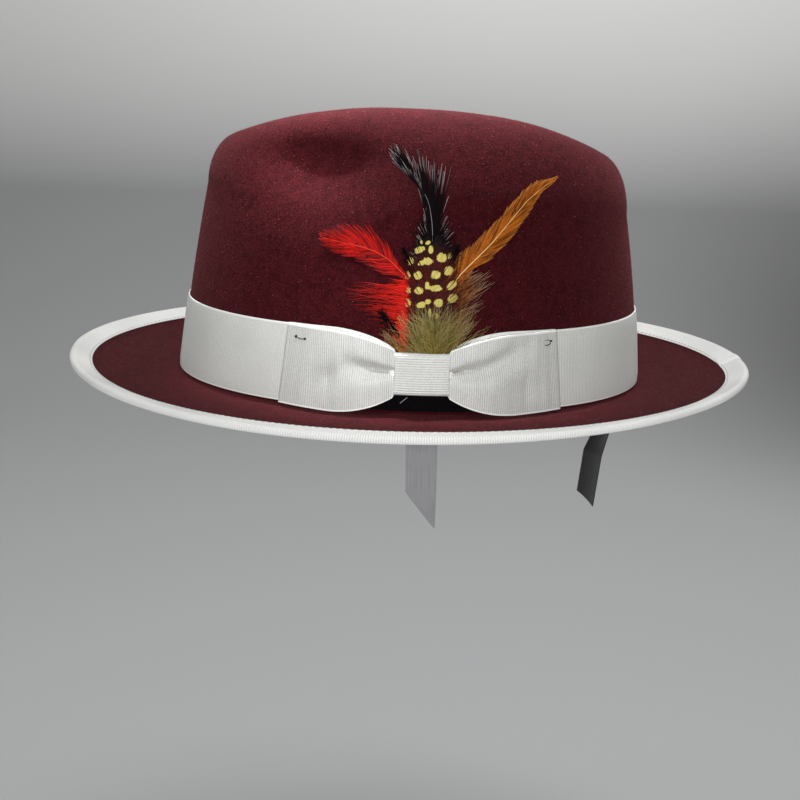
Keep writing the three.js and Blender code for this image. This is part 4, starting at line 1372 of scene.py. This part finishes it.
# %% Stray tufts between the feathers
# Tufts: name, foot x and height, end x and height, off, reach, sweep, spacing, curl.
TUFTS = [
    ("left_black", -4, 32, -12, 42, 1.6, 7, 26, 0.3, 0.0035),
    ("top_left_black", -1, 62, -4, 69, 3.6, 4, 22, 0.35, 0.002),
    ("top_right_black", 13, 62, 17, 70, 4.0, 6, 26, 0.3, 0.0025),
    ("left_tawny", -2, 24, -9, 33, 1.8, 7, 20, 0.4, 0.002),
    ("right_tawny", 18, 30, 21, 39, 4.2, 5, 28, 0.35, 0.0025),
]
# Along a tuft: share of the way from foot to end, its barbs' share of the reach, and mm more.
TUFT_SHAPE = [(0, 0, 0), (0.5, 0.5, 0), (1, 0.4, 0), (1.2, 0, 0.3)]
for name, x0, z0, x1, z1, off, reach, sweep, spacing, curl in TUFTS:
    rows = []
    for way, share, more in TUFT_SHAPE:
        barb = reach * share + more
        rows.append((mix(x0, x1, way), mix(z0, z1, way), off, barb, barb, sweep))
    vane, slot = (black_fluff_vane, "black_feather") if "black" in name else (tawny_vane, "brown_feather")
    add_feather(
        "tuft_" + name, rows, vane, slot,
        Spacing=spacing * MM, Barb_Width=0.00026, Uneven=0.5, Disorder=0.2, Clumping=0.4, Curl=curl,
        Lift=0.002, Quill_Width=0.0003, Seed=len(name),
    )

# %% [markdown]
# ## Ribbon tails
# Two narrow satin ribbons are tacked inside the crown and hang out below the brim. A free
# ribbon that only hangs could be simulated, but these are short and nearly flat, so each
# is a strip between its two edges. Its end is cut on a slant, and it cups a little across
# its width, as a ribbon does that has come off a small spool.

# %% Tail sizes
TAIL_THICK, TACKED_FROM, TACKED_TO = 0.6, 12.0, 2.0
CUP = 0.35  # mm that a tail's edges curl to one side and its middle to the other
FREE_AFTER, CUPPED_WIDTH = 15, 8  # mm below the tack, and width, from which it cups in full
TAILS = {
    "ribbon_tail_side": [
        {"near": (-0.4, -82.6, -14), "far": (13.0, -82.2, -14)},
        {"near": (0.0, -80.4, -36), "far": (13.4, -80.0, -36)},
        {"near": (12.4, -78.8, -52), "far": (13.4, -78.6, -52.9)},
    ],
    "ribbon_tail_rear": [
        {"near": (100.6, -5, -16), "far": (98.6, 8.8, -16)},
        {"near": (95.4, -3, -41), "far": (88.6, 9.4, -41)},
        {"near": (93.2, -2, -66.8), "far": (86.8, 10, -62.8)},
    ],
}


def tacked_at(edge, z):
    """Against the inner face of the crown's wall, beyond a given place."""
    turn = math.atan2(edge[1] / HALF_WIDTH, edge[0] / HALF_LENGTH)
    return wall_at(turn, z, -(FELT_THICK + GAP + TAIL_THICK / 2))


def tail_grid(stations, rows=90, columns=9):
    edges = {}
    for side in ("near", "far"):
        top = [tacked_at(stations[0][side], z) for z in (TACKED_FROM, TACKED_TO)]
        edges[side] = np.array([*top, *(np.array(s[side], float) for s in stations)])
    middle = (edges["near"] + edges["far"]) / 2
    run = run_along(middle)
    at = np.linspace(0, run[-1], rows)
    near, far = (
        np.stack([np.interp(at, run, edge[:, k]) for k in range(3)], axis=1) for edge in edges.values()
    )
    v = np.linspace(0, 1, columns)[None, :, None]
    strip = mix(near[:, None], far[:, None], v)
    square = unit(np.cross((far - near) * (1, 1, 0), np.gradient(near + far, axis=0)))[:, None]
    free = smooth((at - run[1]) / FREE_AFTER)
    narrow = np.minimum(1, np.linalg.norm(far - near, axis=1) / CUPPED_WIDTH)
    cup = CUP * (2 * (2 * v - 1) ** 2 - 1) * free[:, None, None] * narrow[:, None, None]
    strip, half = strip + square * cup, square * TAIL_THICK / 2
    return np.concatenate([strip + half, (strip - half)[:, ::-1]], axis=1), run[-1]


# %% Tails
def make_satin(name, light, dark):
    """Thin satin: a fine warp along the ribbon that stretches its gloss."""
    material, tree, here = new_material(name)
    uv = node(tree, "ShaderNodeUVMap", props={"uv_map": "ribbon"})[0]
    warp = noise(node(tree, "ShaderNodeMapping", uv, Scale=(60.0, 6000.0, 1.0))[0], 1.0)
    base = blend(remap(warp, 0.3, 0.7), dark, light)
    base = blend(remap(noise(here, 120.0), 0.4, 0.8, 0.0, 0.3), base, dark)
    return finish(material, base, (warp, 0.25, 0.0001), Roughness=0.38, Anisotropic=0.5, Sheen_Weight=0.2)


# Finishes: material, slot, and the share of the ribbon that is left after its slanted cut.
TAIL_FINISHES = {
    "ribbon_tail_side": (make_satin("grey_satin", (150, 150, 152), (118, 118, 122)), "grey_tail", 0.9),
    "ribbon_tail_rear": (make_satin("black_satin", (30, 30, 34), (10, 10, 12)), "black_tail", 0.97),
}
for name, stations in TAILS.items():
    grid, length = tail_grid(stations)
    satin, slot, left = TAIL_FINISHES[name]
    tail = dress(name + "_satin", grid, False, True, satin, slot, name)
    wide = np.linalg.norm(np.subtract(stations[0]["far"], stations[0]["near"]))
    declare_ribbon(tail, wide, length, "hung", felt_body, area=wide * length * left)

# %% [markdown]
# ## Stitches
# The binding is sewn through all its layers with a line of small stitches, close to its
# inner edge above and below. A stitch is the same short thread every time, so a tree sets
# one down at every step along a seam line.

# %% The stitch tree
def make_stitch_tree():
    tree, given = new_tree("stitches", Pitch=0.0028, Stitch=0.0019, Thread=0.0003, Unevenness=0.12, Seed=1)
    seam = node(tree, "GeometryNodeMeshToCurve", given["Geometry"])[0]
    bead = node(tree, "GeometryNodeMeshIcoSphere", Radius=0.5, Subdivisions=1)[0]
    tangent = node(tree, "GeometryNodeInputTangent")[0]
    turn = node(tree, "FunctionNodeAlignRotationToVector", props={"axis": "X"}, Vector=tangent)[0]
    swing = chance(tree, -1.0, 1.0, given["Seed"]) * given["Unevenness"]
    turn = turned(turn, vector(tree, 0.0, 0.0, swing))
    size = vector(tree, given["Stitch"], given["Thread"], given["Thread"])
    return end_tree(given, copies(points_along(seam, given["Pitch"]), bead, turn, size))


def chain(name, points):
    """A closed line of edges through points in mm."""
    mesh = bpy.data.meshes.new(name)
    edges = [(i, (i + 1) % len(points)) for i in range(len(points))]
    mesh.from_pydata((np.asarray(points, float) * MM).tolist(), edges, [])
    return mesh


stitch_tree = make_stitch_tree()


# %% Stitches of the binding
SEAM_IN = 1.1  # mm from the binding's inner edge
SEAM_STEP = 1.5  # mm between the points of the seam line
SEAM_PROUD = 0.02  # how far the thread's middle stands out of the ribbon
DIM_TONE = 0.6  # share of a thread's tone that is left between its strands


def make_thread(name, tone):
    material, tree, here = new_material(name)
    dim = (*(DIM_TONE * share for share in tone[:3]), 1)
    return finish(material, blend(remap(noise(here, 3000.0, 1.0), 0.35, 0.7), dim, tone), Roughness=0.6)


def seam_points(above):
    turn, _ = oval_turns(BRIM_HALF_LENGTH, BRIM_HALF_WIDTH, SEAM_STEP)
    _, _, _, width = brim_at(turn, 1.0)
    at, _, up, _ = brim_at(turn, 1 - (LEAF - SEAM_IN) / width)
    lift = ROLL - FELT_THICK / 2 + SEAM_PROUD
    return at + up * lift if above else at - up * (FELT_THICK + lift)


# The stitches' grey is the thread's own tone darkened with a painted shadow of the stitches.
seam_thread_and_shadow = make_thread("seam_thread_and_shadow", colour(150, 150, 147))
for place, above in (("above", True), ("below", False)):
    line = chain("seam_" + place, seam_points(above))
    mesh = grow("binding_stitches_" + place, line, stitch_tree, seam_thread_and_shadow, Seed=3, Thread=0.00032)
    add_piece("binding_stitches_" + place, mesh, seam_thread_and_shadow, "binding_ribbon")


# %% [markdown]
# ## Loose threads and tacks
# Each end of the bow is tacked to the band with one small stitch, and where the ribbon was
# cut a thread or two has come loose. They are thin tubes along a few points each.

# %% Tubes
def curve_through(points, count):
    """A smooth path through a few points."""
    points = np.asarray(points, float)
    run = np.arange(len(points))
    at = np.linspace(0, len(points) - 1, count)
    i = np.clip(at.astype(int), 0, len(points) - 2)
    t = (at - i)[:, None]
    before, after = points[np.maximum(i - 1, 0)], points[np.minimum(i + 2, len(points) - 1)]
    a, b = points[i], points[i + 1]
    cubic = 3 * (a - b) + after - before
    return a + 0.5 * t * (b - before + t * (2 * before - 5 * a + 4 * b - after + t * cubic))


def tube_grid(path, radius, sides=6):
    """Rings round a path, kept from twisting."""
    along = unit(np.gradient(path, axis=0))
    side = unit(np.cross(along[0], (0.3, 0.5, 0.8)))
    rings = []
    a = np.linspace(0, 2 * math.pi, sides, endpoint=False)[:, None]
    for place, way in zip(path, along):
        side = unit(side - way * (side @ way))
        other = np.cross(way, side)
        rings.append(place + radius * (np.cos(a) * side + np.sin(a) * other))
    return np.array(rings)


def thread_grid(rows, radius, count):
    """A thread on the left side, through rows of x, height and distance off the felt."""
    x, z, off = curve_through(rows, count).T
    return tube_grid(on_left(x, z, off), radius)


# %% Tacks and loose threads
CURVED_RINGS, STRAIGHT_RINGS = 16, 3
dark_thread = make_thread("dark_thread", colour(38, 30, 32))
pale_thread = make_thread("pale_thread", colour(206, 206, 200))
# Threads: name, material, radius in mm, and rows of x, height and distance off the felt.
THREADS = [
    ("tack_left", dark_thread, 0.2, [
        (-45.5, 30.6, 5.0), (-45.0, 30.4, 5.7), (-43.4, 30.0, 6.1), (-42.1, 30.2, 6.2), (-41.7, 30.3, 5.6),
    ]),
    ("tack_right", dark_thread, 0.2, [
        (52.9, 31.2, 4.4), (53.2, 30.2, 5.1), (54.7, 29.7, 5.2), (56.1, 30.2, 5.0), (56.4, 31.3, 4.3),
    ]),
    ("tack_right_upper", dark_thread, 0.14, [(53.1, 31.3, 5.2), (54.6, 32.0, 5.3), (56.2, 31.4, 5.1)]),
    ("hole_left_front", dark_thread, 0.6, [(-45.7, 30.7, 4.4), (-45.6, 30.6, 5.6)]),
    ("hole_left_rear", dark_thread, 0.6, [(-41.7, 30.3, 4.9), (-41.6, 30.2, 6.3)]),
    ("hole_right_front", dark_thread, 0.5, [(52.9, 31.3, 4.4), (52.8, 31.2, 5.4)]),
    ("hole_right_rear", dark_thread, 0.5, [(56.4, 31.4, 4.1), (56.5, 31.3, 5.2)]),
    ("loose_loop", dark_thread, 0.09, [
        (55.6, 2.0, 3.0), (56.6, -0.6, 3.6), (58.4, -1.8, 4.0), (59.6, 0.0, 4.0), (58.4, 1.4, 3.4),
        (56.9, 0.4, 3.2),
    ]),
    ("loose_end", pale_thread, 0.13, [(-3.4, 5.6, 2.4), (-2.2, 7.0, 3.2), (-0.6, 8.4, 3.4)]),
]
for name, thread, radius, rows in THREADS:
    rings = CURVED_RINGS if len(rows) > 2 else STRAIGHT_RINGS
    dress(name, thread_grid(rows, radius, rings), False, True, thread, "bow_ribbon")

# %% [markdown]
# ## Nap
# Short fibres stand and lie all over the felt. They blur its outline and make the fine
# light grain of its surface. A tree scatters points over the felt, sets a slim fibre on
# each one and tips it over in a random direction.

# %% The nap tree
FLATTEST, FULL_TURN = 1.5, 6.283  # radians


def make_nap_tree():
    tree, given = new_tree(
        "nap", Per_Square_Metre=300000.0, Shortest=0.0006, Longest=0.0013, Fibre=0.00006, Steepest=0.6,
        Seed=1,
    )
    felt_sheet, density, seed = given["Geometry"], given["Per Square Metre"], given["Seed"]
    scattered = node(
        tree, "GeometryNodeDistributePointsOnFaces", Mesh=felt_sheet, Density=density, Seed=seed
    )
    cone = {"Vertices": 3, "Radius_Top": 0.0, "Radius_Bottom": 0.5, "Depth": 1.0}
    fibre = node(tree, "GeometryNodeMeshCone", **cone)["Mesh"]
    tilt = chance(tree, given["Steepest"], FLATTEST, seed + 1.0)
    spin = chance(tree, 0.0, FULL_TURN, seed + 2.0)
    turn = turned(scattered["Rotation"], vector(tree, tilt, 0.0, spin))
    length = chance(tree, given["Shortest"], given["Longest"], seed + 3.0)
    fibres = copies(scattered["Points"], fibre, turn, vector(tree, given["Fibre"], given["Fibre"], length))
    return end_tree(given, keep(fibres, "INSTANCE", "chance", chance(tree, 0.0, 1.0, 9)))


def make_nap_finish():
    """Fibres in mixed tones, a few of them nearly white."""
    material, tree, _ = new_material("burgundy_nap")
    own = strand_value(tree, "chance")
    base = blend(remap(own, 0.0, 0.9), (92, 26, 32), (150, 66, 68))
    base = blend(remap(own, 0.93, 1.0), base, (206, 160, 156))
    return finish(material, base, Roughness=0.7, Specular_IOR_Level=0.2)


nap_tree = make_nap_tree()
nap_finish = make_nap_finish()


# %% Nap on crown and brim
NAP_TURNS = 200
NAP_DENSITY = 340000.0  # fibres per square metre
BARE_WALL, BARE_BRIM = 0.46, 0.16  # shares hidden by the band and by the binding


def open_sheet(name, grid, away_from):
    """The grid as a plain open sheet that faces away from a point, only to grow something on."""
    faces, _ = grid_faces(grid.shape[0], grid.shape[1], True, False)
    mesh = bpy.data.meshes.new(name)
    mesh.from_pydata((grid.reshape(-1, 3) * MM).tolist(), [], faces.tolist())
    if sum((f.center - Vector(away_from)).dot(f.normal) * f.area for f in mesh.polygons) < 0:
        mesh.flip_normals()
    return mesh


outer = felt_outer(np.linspace(0, 2 * math.pi, NAP_TURNS, endpoint=False))
above_band = DENT_STEPS + SHOULDER_STEPS + round(WALL_STEPS * (1 - BARE_WALL))
brim_from = DENT_STEPS + SHOULDER_STEPS + WALL_STEPS + CORNER_STEPS
brim_to = brim_from + round(BRIM_STEPS * (1 - BARE_BRIM))
crown_sheet = open_sheet("crown_sheet", outer[:, 1:above_band], (0, 0, 0.02))
brim_sheet = open_sheet("brim_sheet", outer[:, brim_from:brim_to], (0, 0, -1))
for name, sheet, seed in (("crown_nap", crown_sheet, 21), ("brim_nap", brim_sheet, 22)):
    mesh = grow(name, sheet, nap_tree, nap_finish, Per_Square_Metre=NAP_DENSITY, Seed=seed)
    add_piece(name, mesh, nap_finish, "felt")

# %% Sizes
def corners():
    """The visual model's box: its lowest and highest corner, in metres."""
    return [list(corner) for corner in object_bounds()]


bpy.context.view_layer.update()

visible = [piece for piece in bpy.data.objects if piece.type == "MESH" and not piece.hide_render]
for piece in visible:
    piece.data.calc_loop_triangles()
counts = {piece.name: len(piece.data.loop_triangles) for piece in visible}
print(f"{len(counts)} meshes with {sum(counts.values())} triangles, at most {max(counts.values())} in one")
